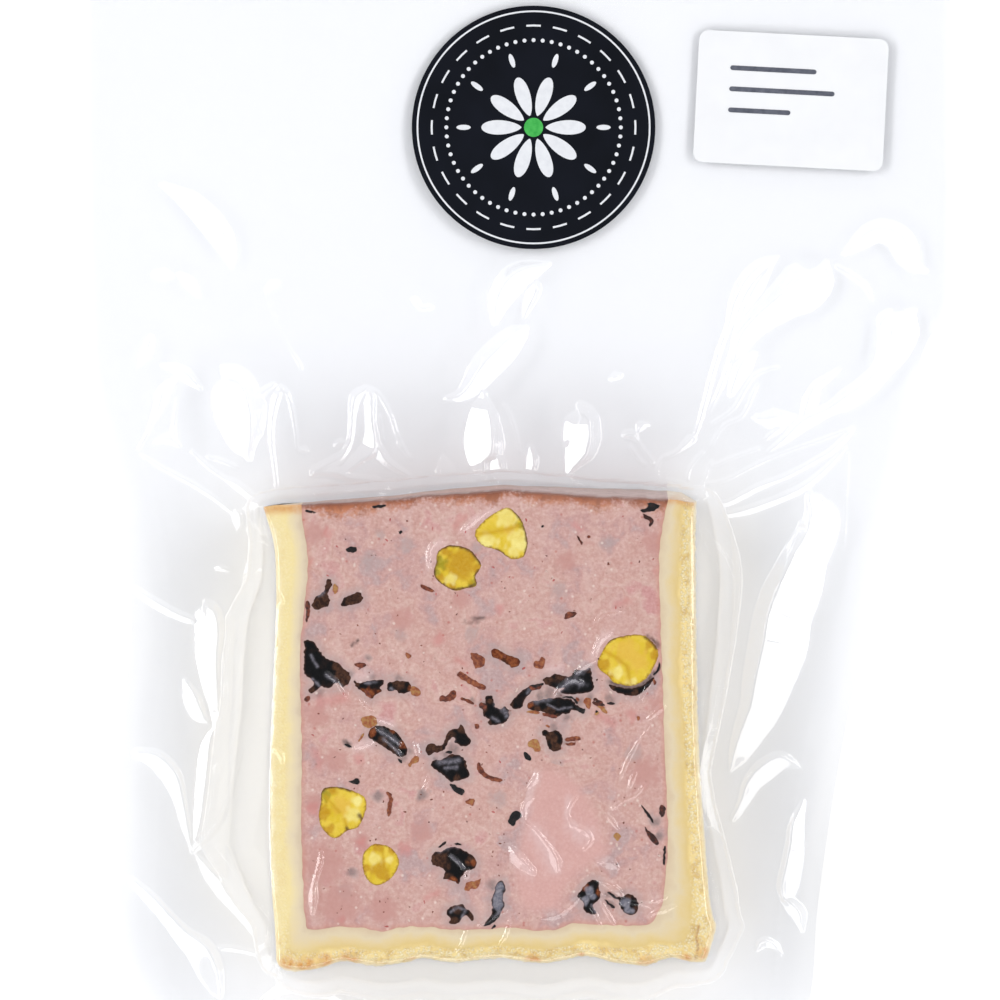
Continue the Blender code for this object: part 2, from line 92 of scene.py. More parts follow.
def distanceTo(loops, points):
    # distance from each point to the nearest point of some loops
    stacked = np.concatenate(loops)
    tree = kdtree.KDTree(len(stacked))
    for index, (x, y) in enumerate(stacked):
        tree.insert((x, y, 0), index)
    tree.balance()
    return np.array([tree.find((x, y, 0))[2] for x, y in points])


def counterClockwise(loop):
    area = np.sum(loop[:, 0] * np.roll(loop[:, 1], -1) - np.roll(loop[:, 0], -1) * loop[:, 1])
    return loop[::-1] if area < 0 else loop


def hexPoints(low, high, spacing, seed, jitter=0.12):
    draw = np.random.default_rng(seed)
    rows = np.arange(low[1], high[1], spacing * math.sqrt(0.75))
    columns = np.arange(low[0], high[0], spacing)
    x, y = np.meshgrid(columns, rows)
    x = x + (np.arange(len(rows)) % 2 * spacing / 2)[:, None]
    points = np.stack([x.ravel(), y.ravel()], axis=1)
    return points + draw.uniform(-jitter, jitter, points.shape) * spacing


def clearOf(loops, points, distance):
    # drops the points that lie too close to a loop's own points
    return points[distanceTo(loops, points) > distance]


def pointsInside(loops, spacing, seed, clear, box=None):
    # loose points within the first loop, outside the others and clear of them all
    box = loops[0] if box is None else box
    points = hexPoints(box.min(axis=0), box.max(axis=0), spacing, seed)
    points = points[insideLoop(loops[0], points)]
    for hole in loops[1:]:
        points = points[~insideLoop(hole, points)]
    return clearOf(loops, points, clear)


def fillLoops(loops, points):
    # triangles between an outer loop, its holes and loose points: vertices, faces, each loop's vertices
    stacked = np.concatenate(list(loops) + [points])
    edges, start = [], 0
    for loop in loops:
        edges += [(start + k, start + (k + 1) % len(loop)) for k in range(len(loop))]
        start += len(loop)
    spots = [Vector(p) for p in stacked.tolist()]
    placed, _, faces, origins, _, _ = delaunay_2d_cdt(spots, edges, [], 0, 1e-5)
    placed = np.array([tuple(p) for p in placed])
    faces = np.array([f for f in faces if len(f) == 3])
    middles = placed[faces].mean(axis=1)
    wanted = insideLoop(loops[0], middles)
    for hole in loops[1:]:
        wanted &= ~insideLoop(hole, middles)
    faces = faces[wanted]
    a, b, c = placed[faces[:, 0]], placed[faces[:, 1]], placed[faces[:, 2]]
    turned = (b - a)[:, 0] * (c - a)[:, 1] - (b - a)[:, 1] * (c - a)[:, 0] < 0
    faces[turned] = faces[turned][:, ::-1]
    where = {}
    for index, sources in enumerate(origins):
        for source in sources:
            where[source] = index
    rings, start = [], 0
    for loop in loops:
        rings.append([where[start + k] for k in range(len(loop))])
        start += len(loop)
    return placed, faces, rings


def linkMesh(name, verts, faces, material, flat=False, sharp=math.radians(50)):
    mesh = bpy.data.meshes.new(name)
    mesh.from_pydata((np.asarray(verts, float) * mm).tolist(), [], faces)
    mesh.validate()
    if not flat:
        mesh.shade_smooth()
        mesh.set_sharp_from_angle(angle=sharp)
    mesh.materials.append(material)
    piece = bpy.data.objects.new(name, mesh)
    bpy.context.scene.collection.objects.link(piece)
    return piece


def outwardFaces(piece, oneShell=True):
    # the volume of one closed shell tells which way round it is
    bm = bmesh.new()
    bm.from_mesh(piece.data)
    bmesh.ops.recalc_face_normals(bm, faces=bm.faces)
    if oneShell and bm.calc_volume(signed=True) < 0:
        bmesh.ops.reverse_faces(bm, faces=bm.faces)
    bm.to_mesh(piece.data)
    bm.free()


def setAttribute(piece, name, values):
    layer = piece.data.attributes.new(name, "FLOAT", "POINT")
    layer.data.foreach_set("value", np.asarray(values, np.float32))


def ripple(x, y, size, seed, waves=10):
    # smooth seeded unevenness about 0, within about -1 to 1, with bumps about size across
    draw = np.random.default_rng(seed)
    total = np.zeros(np.shape(x))
    for _ in range(waves):
        heading, phase = draw.uniform(0, 2 * math.pi, 2)
        pitch = size * draw.uniform(1.5, 3.0)
        total += np.sin((np.cos(heading) * x + np.sin(heading) * y) * 2 * math.pi / pitch + phase)
    return total / math.sqrt(waves * 1.6)


def smoothRamp(t):
    t = np.clip(t, 0, 1)
    return t * t * (3 - 2 * t)


def settle(piece, node=None):
    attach(piece, "root")
    if node is not None:
        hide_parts(node)
    return piece


# Helpers for materials


def paint(*seen):
    # a colour as seen, red, green and blue, to the renderer's own scale
    return tuple(v / 255 / 12.92 if v <= 10 else ((v / 255 + 0.055) / 1.055) ** 2.4 for v in seen) + (1.0,)


def addNode(tree, kind, inputs=None, **settings):
    # an input may be a plain value, another node's output or the name of a painted attribute
    made = tree.nodes.new(kind)
    for name, value in settings.items():
        setattr(made, name, value)
    for name, value in (inputs or {}).items():
        if isinstance(value, str):
            value = addNode(tree, "ShaderNodeAttribute", attribute_name=value).outputs["Fac"]
        if isinstance(value, bpy.types.NodeSocket):
            tree.links.new(value, made.inputs[name])
        else:
            made.inputs[name].default_value = value
    return made


def addRamp(tree, fac, stops):
    # each stop is its place and the colour seen there
    made = addNode(tree, "ShaderNodeValToRGB", {"Fac": fac})
    ramp = made.color_ramp
    while len(ramp.elements) < len(stops):
        ramp.elements.new(0.5)
    for element, (place, *colour) in zip(ramp.elements, stops):
        element.position = place
        element.color = paint(*colour)
    return made.outputs["Color"]


def mixColours(tree, fac, under, over):
    return addNode(tree, "ShaderNodeMix", {0: fac, 6: under, 7: over}, data_type="RGBA").outputs[2]


def doMath(tree, operation, *values, clamp=False):
    made = addNode(tree, "ShaderNodeMath", dict(enumerate(values)), operation=operation, use_clamp=clamp)
    return made.outputs[0]


def times(tree, a, b, clamp=False):
    return doMath(tree, "MULTIPLY", a, b, clamp=clamp)


def mapRange(tree, value, low, high):
    # 0 at low and 1 at high, whichever is the larger
    made = addNode(tree, "ShaderNodeMapRange", {"Value": value, "From Min": low, "From Max": high})
    return made.outputs["Result"]


def noiseAt(tree, place, scale, detail, roughness=0.5):
    return addNode(tree, "ShaderNodeTexNoise", {
        "Vector": place, "Scale": scale, "Detail": detail, "Roughness": roughness}).outputs


def stain(tree, body, *stains):
    # lays colours over the body, each by a mask and its strength
    for mask, strength, *colour in stains:
        body = mixColours(tree, times(tree, mask, strength), body, paint(*colour))
    return body


def newMaterial(name, roughness, specular):
    material = bpy.data.materials.new(name)
    material.use_nodes = True
    tree = material.node_tree
    shader = tree.nodes["Principled BSDF"]
    shader.inputs["Roughness"].default_value = roughness
    shader.inputs["Specular IOR Level"].default_value = specular
    return material, tree, shader


def newGroup(name, inputs, outputs):
    group = bpy.data.node_groups.new(name, "ShaderNodeTree")
    for label, kind, value in inputs:
        socket = group.interface.new_socket(label, in_out="INPUT", socket_type=kind)
        if value is not None:
            socket.default_value = value
    for label, kind in outputs:
        group.interface.new_socket(label, in_out="OUTPUT", socket_type=kind)
    return group, group.nodes.new("NodeGroupInput"), group.nodes.new("NodeGroupOutput")


def buildPatches():
    # uneven blotches: noise cut to a mask between Low and High
    group, source, sink = newGroup("unevenPatches", [
        ("Vector", "NodeSocketVector", None), ("Scale", "NodeSocketFloat", 200.0),
        ("Low", "NodeSocketFloat", 0.4), ("High", "NodeSocketFloat", 0.6)], [("Mask", "NodeSocketFloat")])
    noise = addNode(group, "ShaderNodeTexNoise", {
        "Vector": source.outputs["Vector"], "Scale": source.outputs["Scale"],
        "Detail": 2.0, "Roughness": 0.6})
    mask = addNode(group, "ShaderNodeMapRange", {
        "Value": noise.outputs["Fac"], "From Min": source.outputs["Low"], "From Max": source.outputs["High"]})
    group.links.new(mask.outputs["Result"], sink.inputs["Mask"])
    return group


patchGroup = buildPatches()


def patches(tree, place, scale, low, high):
    return addNode(tree, "ShaderNodeGroup", {"Vector": place, "Scale": scale, "Low": low, "High": high},
                   node_tree=patchGroup).outputs["Mask"]


def warpedPlace(tree, place, scale, amount):
    # coordinates pushed about by a noise, which takes the evenness out of what is laid on them
    wander = noiseAt(tree, place, scale, 1.0)["Color"]
    return addNode(tree, "ShaderNodeVectorMath", {0: wander, 1: (amount, amount, amount), 2: place},
                   operation="MULTIPLY_ADD").outputs[0]


def objectPlace(tree):
    return addNode(tree, "ShaderNodeTexCoord").outputs["Object"]


def bumpFrom(tree, shader, height, distance, strength=1.0):
    bump = addNode(tree, "ShaderNodeBump", {"Height": height, "Distance": distance, "Strength": strength})
    tree.links.new(bump.outputs["Normal"], shader.inputs["Normal"])


def finish(tree, shader, colour, height, distance, strength):
    tree.links.new(colour, shader.inputs["Base Color"])
    bumpFrom(tree, shader, height, distance, strength)


def coloured(name, roughness, level, dark, light, *cloud):
    # a plain finish that wavers between two colours
    material, tree, shader = newMaterial(name, roughness, level)
    place = objectPlace(tree)
    mask = patches(tree, place, *cloud)
    tree.links.new(mixColours(tree, mask, paint(*dark), paint(*light)), shader.inputs["Base Color"])
    return material, tree, shader, place


# Helpers for Geometry Nodes


def geometryTree(name, inputs):
    tree = bpy.data.node_groups.new(name, "GeometryNodeTree")
    tree.interface.new_socket("Geometry", in_out="INPUT", socket_type="NodeSocketGeometry")
    for label, kind in inputs:
        tree.interface.new_socket(label, in_out="INPUT", socket_type=kind)
    tree.interface.new_socket("Geometry", in_out="OUTPUT", socket_type="NodeSocketGeometry")
    return tree, tree.nodes.new("NodeGroupInput"), tree.nodes.new("NodeGroupOutput")


def runTree(name, tree, verts, faces, settings):
    # runs a Geometry Nodes tree on a starting mesh, in metres, and gives back a plain mesh object
    mesh = bpy.data.meshes.new(name + "Start")
    mesh.from_pydata((np.asarray(verts, float) * mm).tolist(), [], faces)
    start = bpy.data.objects.new(name + "Start", mesh)
    bpy.context.scene.collection.objects.link(start)
    modifier = start.modifiers.new("nodes", "NODES")
    modifier.node_group = tree
    for item in tree.interface.items_tree:
        if item.item_type == "SOCKET" and item.in_out == "INPUT" and item.name in settings:
            modifier[item.identifier] = settings[item.name]
    bpy.context.view_layer.update()
    made = bpy.data.meshes.new_from_object(start.evaluated_get(bpy.context.evaluated_depsgraph_get()))
    made.name = name
    start.modifiers.remove(modifier)
    bpy.data.objects.remove(start)
    piece = bpy.data.objects.new(name, made)
    bpy.context.scene.collection.objects.link(piece)
    return piece


# The slice's edges, between the meat's own top and base

meatLow, meatHigh = boxOf("forcemeat")
bagLow, bagHigh = boxOf("vacuum_bag")
sliceTop, sliceBase = meatHigh[2], meatLow[2]

edges = {
    # the pastry's outer foot as it shows from above: left, bottom and right, and where the meat begins
    "left": [(-53.0, -4.9), (-52.2, -7.5), (-50.9, -12), (-50.4, -18), (-50.4, -30), (-50.8, -40),
             (-51.5, -58),
             (-51.4, -80), (-50.6, -92), (-50.4, -97)],
    "bottom": [(-50.3, -99.2), (-49.2, -100.6), (-46, -101.3), (-43, -101.1), (-40.4, -100.4), (-37, -99.3),
               (-34, -99.6), (-28.6, -100.2), (-24, -99.6), (-20, -98.7), (-16, -99.3), (-12, -99.5),
               (-8, -98.9),
               (-4, -98.6), (0, -99.1), (5.6, -99.7), (10, -98.8), (14.6, -98.2), (20, -99.5), (26, -100.1),
               (29.6, -99.2), (32.4, -98.5), (35.6, -99.3), (37.6, -99.5)],
    "right": [(39.0, -99.1), (39.9, -96.8), (40.6, -94.2), (41.1, -91.8), (40.5, -90.2), (39.9, -87),
              (39.4, -81),
              (38.4, -68), (37.6, -54), (37.2, -40), (36.9, -20), (37.0, -4.2)],
    "meatLeft": [(-44.9, -4.6), (-44.5, -9), (-43.8, -12.5), (-43.6, -17), (-43.9, -22), (-44.6, -28),
                 (-45.2, -35),
                 (-45.0, -45), (-44.8, -56), (-45.0, -70), (-44.7, -80), (-44.3, -88), (-43.9, -91.4)],
    "meatBottom": [(-43.2, -92.2), (-41, -92.2), (-37, -91.7), (-32, -91.9), (-28.2, -92.7), (-24.6, -91.8),
                   (-19, -91.7), (-13, -92.3), (-7, -92.2), (-2, -91.8), (4, -92.5), (8, -92.2), (11, -91.1),
                   (18, -91.3), (25, -91.4), (27.6, -90.8), (29.0, -88.6)],
    "meatRight": [(30.0, -86.6), (30.5, -80), (30.9, -75), (30.8, -68), (30.4, -56), (29.9, -42), (29.4, -28),
                  (29.1, -17), (29.6, -10), (30.4, -6), (31.0, -3.4)],
    "top": [(-53, -4.9), (-50, -4.4), (-45, -4.3), (-35, -3.9), (-30, -3.6), (-25, -3.2), (-20, -2.6),
            (-10, -2.0),
            (-4, -1.5), (0, -1.5), (5, -1.8), (10, -2.3), (15, -2.7), (25, -3.1), (33, -3.4), (37, -4.2)],
    # how far the foot of the upper side stands out beyond its edge
    "topLean": [(-53, 0.2), (-45, 0.5), (-36, 0.8), (-20, 1.0), (-10, 1.3), (0, 1.2), (10, 1.6), (18, 1.9),
                (34, 1.9), (37, 0.7)],
}


def topEdge(x):
    # the slice's upper edge at the cut face
    return np.interp(x, *np.array(edges["top"], float).T) + 0.1 * ripple(x, np.zeros(np.shape(x)), 3.0, 5)


def topLean(x):
    return np.interp(x, *np.array(edges["topLean"], float).T)


def sideTable(side, axis):
    # the outer edge of one side as a plain function of x or y
    points = smoothPath(edges[side], 0.5)
    order = np.argsort(points[:, axis], kind="stable")
    return points[order, axis], points[order, 1 - axis]


leftTable, rightTable, bottomTable = sideTable("left", 1), sideTable("right", 1), sideTable("bottom", 0)


# The film's height over the whole bag, worked out on a fine raster

bagEdges = {
    "left": [(bagLow[0], bagHigh[1]), (bagLow[0], 80), (bagLow[0], 45), (-90.0, 32), (-88.6, 16), (-83.4, -4),
             (-80.9, -20), (-80.8, -34), (-82.6, -50), (-83.0, -77), (-84.0, -90), (-82.6, -99),
             (-79.4, -105.4),
             (-74.6, -110.6), (-70.0, -112.2)],
    "right": [(bagHigh[0], bagHigh[1]), (bagHigh[0], 80), (bagHigh[0], 45), (89.4, 36), (84.2, 27), (79.4, 5),
              (76.0, -9), (72.0, -32), (68.0, -52), (64.6, -72), (62.2, -90), (61.4, -103), (59.6, -109.2),
              (53.0, -112.2)],
}
film = {
    "step": 0.25,
    "rise": 7.7, "fall": 24.0, "rim": 0.55,      # how the flange stands up towards the slice
    "swell": 0.32, "waver": (0.07, 0.02),       # its slow rise and fall, and its smaller unevenness
    "clear": 0.14,                              # the film above the cut face
    "plies": 0.05,                              # half the distance between pressed plies
    "sealWidth": 8.0, "sealBump": 0.05,
    "under": 0.25,                              # the film under the slice
    "inset": (0.3, 0.7, 0.7),                   # its edges from the pastry's foot: left, right and bottom
    "bend": 0.9, "foot": 0.035,                 # how it leaves the slice and meets the lower one
    "climbFrom": 0.62,                          # how far out the lower film starts to climb
    "creaseWide": 1.35,
    "spacing": {"fine": 0.43, "middle": 1.1, "coarse": 3.0},
    "tight": 0.7, "slack": 0.04,                # the bends above which the points lie closest, and close
    "index": 1.55, "roughness": 0.045, "tint": (0.988, 0.991, 1.0, 1),
}
tent = {
    # how far out from the slice the upper film meets the lower one
    "left": [(-100, 3.5), (-96, 4.5), (-92, 4.6), (-87, 8.4), (-81.5, 11.4), (-75, 15), (-67, 14),
             (-59, 13.2),
             (-47, 11.6), (-37, 11.8), (-28, 10.8), (-20, 6.4), (-10, 4.8), (-4, 3.6)],
    "right": [(-100, 5), (-92, 6.4), (-85, 6.4), (-74, 4.6), (-66, 3), (-60, 2.4), (-53, 4.2), (-46, 6),
              (-39, 7.4),
              (-33, 8.6), (-25, 9.8), (-20, 10.3), (-15, 9.7), (-10, 8.2), (-4, 6)],
    "top": [(-52, 3.2), (-46, 3.8), (-30, 4.2), (-10, 4.4), (10, 4.2), (25, 3.8), (34, 3.4), (37, 3.2)],
    "bottom": [(-50, 4), (-40, 7), (-20, 9), (0, 9.6), (20, 9), (32, 7), (38, 5)],
}

# Where the film throws back the lamps: each band's middle line, with its width at every point
bands = [
    [(-70.6, 43.2, 1.0), (-69.0, 41.5, 1.9), (-67.0, 39.2, 0.8)],
    [(-75.2, 43.2, 1.4), (-73.8, 43.1, 1.9), (-72.8, 43.0, 1.2)],
    [(-74.0, 62.0, 1.0), (-68.0, 57.5, 3.4), (-62.6, 51.0, 3.6), (-59.8, 45.0, 0.6)],
    [(-52.0, 40.4, 0.8), (-50.8, 41.3, 1.4), (-50.0, 41.8, 0.6)],
    [(-52.5, 39.6, 0.4), (-50.5, 34.0, 0.4), (-47.6, 28.0, 0.4), (-46.0, 25.2, 0.8), (-45.3, 23.4, 0.5)],
    [(-76.4, 30.2, 1.1), (-76.6, 28.4, 1.6), (-77.2, 26.8, 1.6), (-78.8, 24.6, 0.6)],
    [(-74.2, 24.4, 0.6), (-71.6, 23.6, 1.5), (-69.4, 22.0, 2.0), (-66.6, 19.8, 0.8)],
    [(-71.6, 21.4, 0.8), (-73.2, 19.0, 2.0), (-74.2, 16.4, 1.6), (-76.4, 12.0, 0.7), (-78.8, 7.2, 0.5)],
    [(-71.3, 17.6, 0.5), (-71.9, 12.6, 0.8), (-72.3, 9.8, 1.4)],
    [(-75.4, 8.5, 0.6), (-73.0, 8.9, 1.5), (-70.6, 7.7, 0.6)],
    [(-78.6, 6.0, 0.5), (-74.0, 3.0, 0.8), (-68.0, -0.2, 0.9), (-63.0, -3.4, 0.8), (-59.6, -6.0, 0.6)],
    [(-59.2, -6.2, 0.5), (-56.6, -5.6, 0.6), (-54.0, -4.8, 0.5)],
    [(-68.0, 6.6, 0.6), (-65.0, 3.6, 0.8), (-61.6, 1.2, 0.7), (-58.4, -0.8, 1.4), (-55.6, -3.0, 1.2),
     (-53.8, -4.4, 0.5)],
    [(-64.6, 5.4, 0.5), (-62.0, 4.6, 0.7), (-58.8, 3.4, 0.5)],
    [(-60.4, 18.4, 7.0), (-59.6, 15.0, 7.8), (-58.6, 11.0, 6.6), (-57.7, 8.0, 4.6), (-56.6, 5.8, 1.6)],
    [(-51.6, -3.8, 0.5), (-50.6, -0.6, 0.7), (-50.9, 3.0, 0.8), (-51.7, 9.0, 1.0), (-51.6, 14.0, 1.2),
     (-50.8, 18.0, 1.5), (-49.6, 20.0, 1.0)],
    [(-49.4, 20.2, 0.9), (-47.8, 18.8, 0.9), (-46.8, 15.0, 0.8), (-46.2, 11.0, 0.7), (-45.9, 7.4, 0.5)],
    [(-54.6, 11.5, 0.6), (-54.4, 15.0, 0.9), (-53.2, 18.4, 1.3), (-51.0, 20.2, 0.9)],
    [(-41.8, 2.2, 1.6), (-38.4, 4.0, 1.6), (-36.0, 6.0, 1.2), (-34.6, 9.4, 1.0), (-34.2, 14.0, 1.1),
     (-33.4, 17.6, 1.8), (-31.8, 19.2, 1.3)],
    [(-31.4, 18.0, 2.2), (-31.2, 13.0, 1.9), (-31.0, 10.0, 2.4), (-31.4, 7.6, 3.0), (-33.0, 6.0, 2.2),
     (-35.0, 4.2, 1.8), (-36.6, 2.4, 1.2)],
    [(-30.0, 8.4, 1.4), (-29.0, 5.8, 1.6), (-27.0, 3.8, 1.2), (-24.6, 2.4, 0.9), (-22.4, 1.4, 0.5)],
    [(-31.0, 19.4, 0.9), (-29.0, 18.2, 0.8), (-26.8, 14.0, 0.8), (-25.4, 10.0, 0.7), (-23.6, 7.0, 0.5)],
    [(-28.7, 14.2, 0.5), (-28.4, 11.4, 0.5), (-28.0, 9.0, 0.5)],
    [(-25.2, 8.3, 0.5), (-24.0, 6.8, 0.5), (-22.6, 5.4, 0.5)],
    [(-41.6, 2.2, 1.0), (-38.0, 1.8, 1.4), (-35.0, 0.8, 1.0), (-31.0, 0.6, 0.8), (-28.0, -0.4, 0.9),
     (-25.4, -1.4, 0.8)],
    [(-37.5, 8.0, 0.8), (-37.0, 8.2, 1.1), (-36.5, 8.2, 0.8)],
    [(-45.2, 6.7, 0.6), (-44.6, 6.7, 0.9), (-44.2, 6.7, 0.6)],
    [(-15.4, 5.2, 1.0), (-14.8, 3.0, 3.0), (-14.0, 1.0, 2.2), (-13.4, -0.8, 1.6)],
    [(-7.6, 18.4, 1.4), (-8.0, 15.0, 4.2), (-8.3, 11.0, 5.8), (-8.4, 7.6, 6.2), (-8.8, 4.8, 3.8),
     (-8.0, 2.4, 2.2), (-6.8, 0.6, 1.0)],
    [(-5.6, 6.0, 2.0), (-5.0, 4.2, 2.6), (-4.2, 2.4, 2.2), (-3.4, 0.6, 1.0)],
    [(-2.2, 2.8, 1.0), (-2.1, 1.8, 1.6), (-2.0, 0.8, 0.8)],
    [(-2.8, 16.6, 0.5), (-1.4, 14.0, 0.6), (-0.4, 11.0, 0.6), (0.2, 8.0, 0.5), (0.4, 6.8, 0.5)],
    [(2.4, 7.6, 0.8), (2.5, 5.0, 2.0), (2.2, 2.4, 1.6), (1.6, 0.6, 0.6)],
    [(12.2, 12.2, 5.6), (12.0, 9.5, 6.0), (11.8, 7.0, 5.0), (11.0, 4.8, 3.2), (10.2, 2.4, 1.2)],
    [(-14.6, 17.6, 0.8), (-12.0, 17.8, 1.8), (-9.4, 19.4, 3.0), (-6.0, 23.4, 4.2), (-2.6, 27.0, 4.2),
     (0.4, 30.6, 3.0), (1.8, 32.2, 0.8)],
    [(-4.4, 34.2, 1.4), (-3.0, 38.0, 3.4), (-0.6, 41.4, 4.2), (2.4, 43.6, 3.4), (6.2, 45.4, 1.0)],
    [(1.0, 34.8, 0.6), (1.8, 38.0, 1.9), (2.8, 40.6, 2.2)],
    [(-21.6, 37.8, 1.2), (-20.4, 36.4, 0.9), (-18.6, 36.4, 1.1)],
    [(22.8, 9.8, 1.2), (23.6, 9.8, 1.3), (24.8, 8.8, 0.5), (26.0, 7.0, 0.5), (27.8, 4.4, 0.5)],
    [(23.2, 7.6, 0.5), (24.6, 5.4, 0.5), (26.0, 4.0, 0.5)],
    [(19.6, 21.6, 0.8), (20.4, 21.9, 1.4), (21.2, 22.2, 0.8)],
    [(25.0, 10.8, 0.6), (25.8, 11.6, 1.4), (26.8, 12.0, 0.6)],
    [(36.6, 9.0, 0.6), (38.4, 14.0, 0.9), (40.0, 20.0, 1.0), (42.0, 27.0, 1.0), (44.2, 33.0, 1.1),
     (46.0, 37.6, 2.2), (48.6, 42.0, 2.8), (51.6, 45.0, 2.4), (54.0, 47.0, 0.7)],
    [(40.0, 15.0, 0.6), (42.0, 19.0, 0.9), (44.0, 24.0, 1.0), (45.6, 29.0, 1.1), (46.8, 34.0, 1.4),
     (48.8, 38.0, 2.2), (51.0, 42.0, 2.0), (53.0, 45.6, 0.8)],
    [(45.4, 25.0, 1.0), (47.4, 29.6, 3.2), (50.6, 33.2, 4.2), (55.4, 36.6, 5.6), (60.0, 39.4, 7.4),
     (63.4, 42.0, 5.2), (64.4, 45.6, 1.2)],
    [(44.6, 18.6, 1.0), (46.0, 21.4, 2.2), (47.6, 24.4, 2.8), (49.0, 26.2, 1.4)],
    [(40.4, 12.4, 0.5), (45.0, 15.6, 0.6), (47.6, 20.0, 0.7), (50.0, 22.8, 0.7), (54.0, 24.2, 0.5)],
    [(40.4, 8.0, 0.5), (43.0, 12.0, 0.6), (46.8, 14.0, 0.6), (49.0, 18.4, 0.7), (50.0, 20.6, 0.5)],
    [(50.0, 13.2, 1.4), (53.0, 12.6, 3.0), (56.0, 13.2, 2.0), (57.6, 13.8, 0.6)],
    [(51.6, 9.2, 0.6), (54.0, 10.8, 1.2), (55.6, 11.8, 0.6)],
    [(52.4, 6.8, 0.6), (56.0, 9.2, 1.4), (60.0, 12.4, 2.4), (64.6, 14.8, 2.0), (69.0, 17.0, 3.2),
     (73.0, 19.8, 3.2), (76.6, 23.6, 3.2), (79.4, 28.0, 5.2), (81.0, 32.4, 5.8), (82.2, 34.8, 2.0)],
    [(59.8, 13.4, 1.4), (61.4, 17.0, 2.4), (62.4, 20.0, 1.6), (65.0, 22.0, 1.2), (67.0, 23.8, 0.6)],
    [(66.4, 45.0, 0.8), (69.0, 43.4, 1.1), (72.0, 41.2, 1.0), (73.6, 38.4, 0.5)],
    [(68.2, 47.8, 0.8), (71.6, 50.0, 2.6), (75.0, 51.8, 3.4), (78.4, 50.6, 4.0), (80.2, 47.6, 3.8),
     (82.0, 45.2, 2.2), (84.6, 44.2, 1.0)],
    [(75.4, 32.2, 0.5), (76.2, 34.0, 1.7), (77.2, 35.4, 1.2)],
    [(38.4, -5.2, 0.5), (44.0, -4.0, 1.0), (50.0, -1.0, 1.2), (56.0, 1.4, 1.0), (62.0, 4.6, 1.0),
     (66.0, 7.0, 1.2), (69.4, 10.6, 1.0)],
    [(41.0, -6.9, 0.8), (47.0, -6.0, 1.4), (54.0, -3.6, 1.4), (59.6, -1.0, 1.4), (64.6, 3.2, 1.0),
     (68.2, 7.4, 0.6)],
    [(39.6, -0.2, 0.5), (44.0, 1.0, 0.5), (50.0, 4.0, 0.6), (56.0, 6.6, 0.5), (62.0, 8.6, 0.6),
     (70.0, 11.6, 0.5)],
    [(40.6, 3.6, 0.5), (45.0, 5.4, 0.5), (50.0, 7.2, 0.5)],
    [(30.4, 5.4, 0.5), (33.0, 6.4, 0.6), (36.0, 8.6, 1.4)],
    [(29.0, 0.6, 0.5), (28.8, 3.4, 0.6), (29.8, 5.4, 0.5)],
    [(31.0, 0.4, 0.5), (34.0, -0.2, 0.6), (36.4, -1.4, 0.5)],
    [(35.4, 1.0, 0.5), (36.0, 3.4, 0.6), (38.4, 6.4, 0.5)],
    [(37.4, -2.6, 0.5), (38.4, -0.6, 0.6), (40.2, 4.6, 0.5)],
    [(68.0, -13.0, 0.5), (68.4, -4.0, 0.6), (68.8, 3.0, 0.6), (68.8, 6.4, 0.5)],
    [(62.0, -3.2, 3.0), (63.8, -7.0, 6.6), (63.2, -11.0, 6.8), (60.8, -16.0, 7.6), (58.8, -22.0, 9.2),
     (56.6, -28.0, 9.4), (55.6, -34.0, 9.6), (53.4, -41.0, 8.4), (51.4, -47.0, 6.8), (48.4, -52.6, 5.0),
     (46.0, -57.0, 3.0), (44.6, -59.2, 1.0)],
    [(45.2, -69.4, 1.2), (47.0, -66.6, 1.8), (49.0, -62.6, 3.0), (51.8, -60.0, 3.6), (54.8, -58.2, 3.0),
     (58.2, -59.0, 0.8)],
    [(59.6, -66.4, 1.0), (58.4, -71.0, 2.6), (58.2, -75.4, 3.2), (57.6, -79.4, 3.6), (56.6, -84.0, 3.6),
     (56.2, -86.4, 2.0)],
    [(56.2, -88.0, 2.0), (57.8, -90.0, 2.2), (58.8, -92.8, 0.7)],
    [(50.0, -97.0, 0.6), (51.0, -95.8, 1.6), (53.0, -96.2, 1.2), (54.6, -98.0, 0.5)],
    [(-79.8, -22.4, 1.2), (-76.0, -25.0, 1.6), (-71.6, -27.4, 1.6), (-68.4, -28.6, 1.4)],
    [(-65.2, -27.8, 4.8), (-65.0, -31.0, 5.4), (-65.0, -36.0, 4.6), (-64.2, -42.0, 3.4), (-63.4, -47.0, 1.8),
     (-63.4, -50.4, 0.6)],
    [(-63.4, -50.8, 0.6), (-65.0, -54.0, 1.8), (-65.8, -59.0, 2.4), (-66.4, -65.0, 2.2), (-67.0, -71.0, 1.6),
     (-67.8, -76.0, 0.6)],
    [(-69.4, -41.4, 1.2), (-68.4, -45.0, 3.0), (-66.8, -48.2, 2.6), (-64.6, -49.8, 0.6)],
    [(-79.0, -56.6, 2.0), (-75.6, -58.0, 3.2), (-72.6, -61.4, 3.4), (-70.8, -66.0, 2.2), (-69.6, -71.0, 1.6),
     (-68.2, -75.8, 0.6)],
    [(-67.2, -76.4, 1.0), (-64.4, -73.8, 0.9), (-62.0, -70.6, 0.9), (-60.0, -66.0, 0.7), (-58.6, -61.0, 0.5),
     (-57.0, -55.0, 0.4)],
    [(-67.2, -77.0, 0.6), (-64.8, -81.0, 2.2), (-61.6, -85.0, 2.8), (-58.4, -88.8, 2.0), (-55.0, -93.0, 1.5),
     (-51.8, -97.4, 0.6)],
    [(-80.6, -83.0, 1.4), (-77.0, -86.6, 2.2), (-73.4, -90.6, 2.4), (-70.0, -94.6, 3.2), (-66.6, -98.0, 4.6),
     (-64.6, -102.0, 4.2), (-63.0, -105.6, 2.2)],
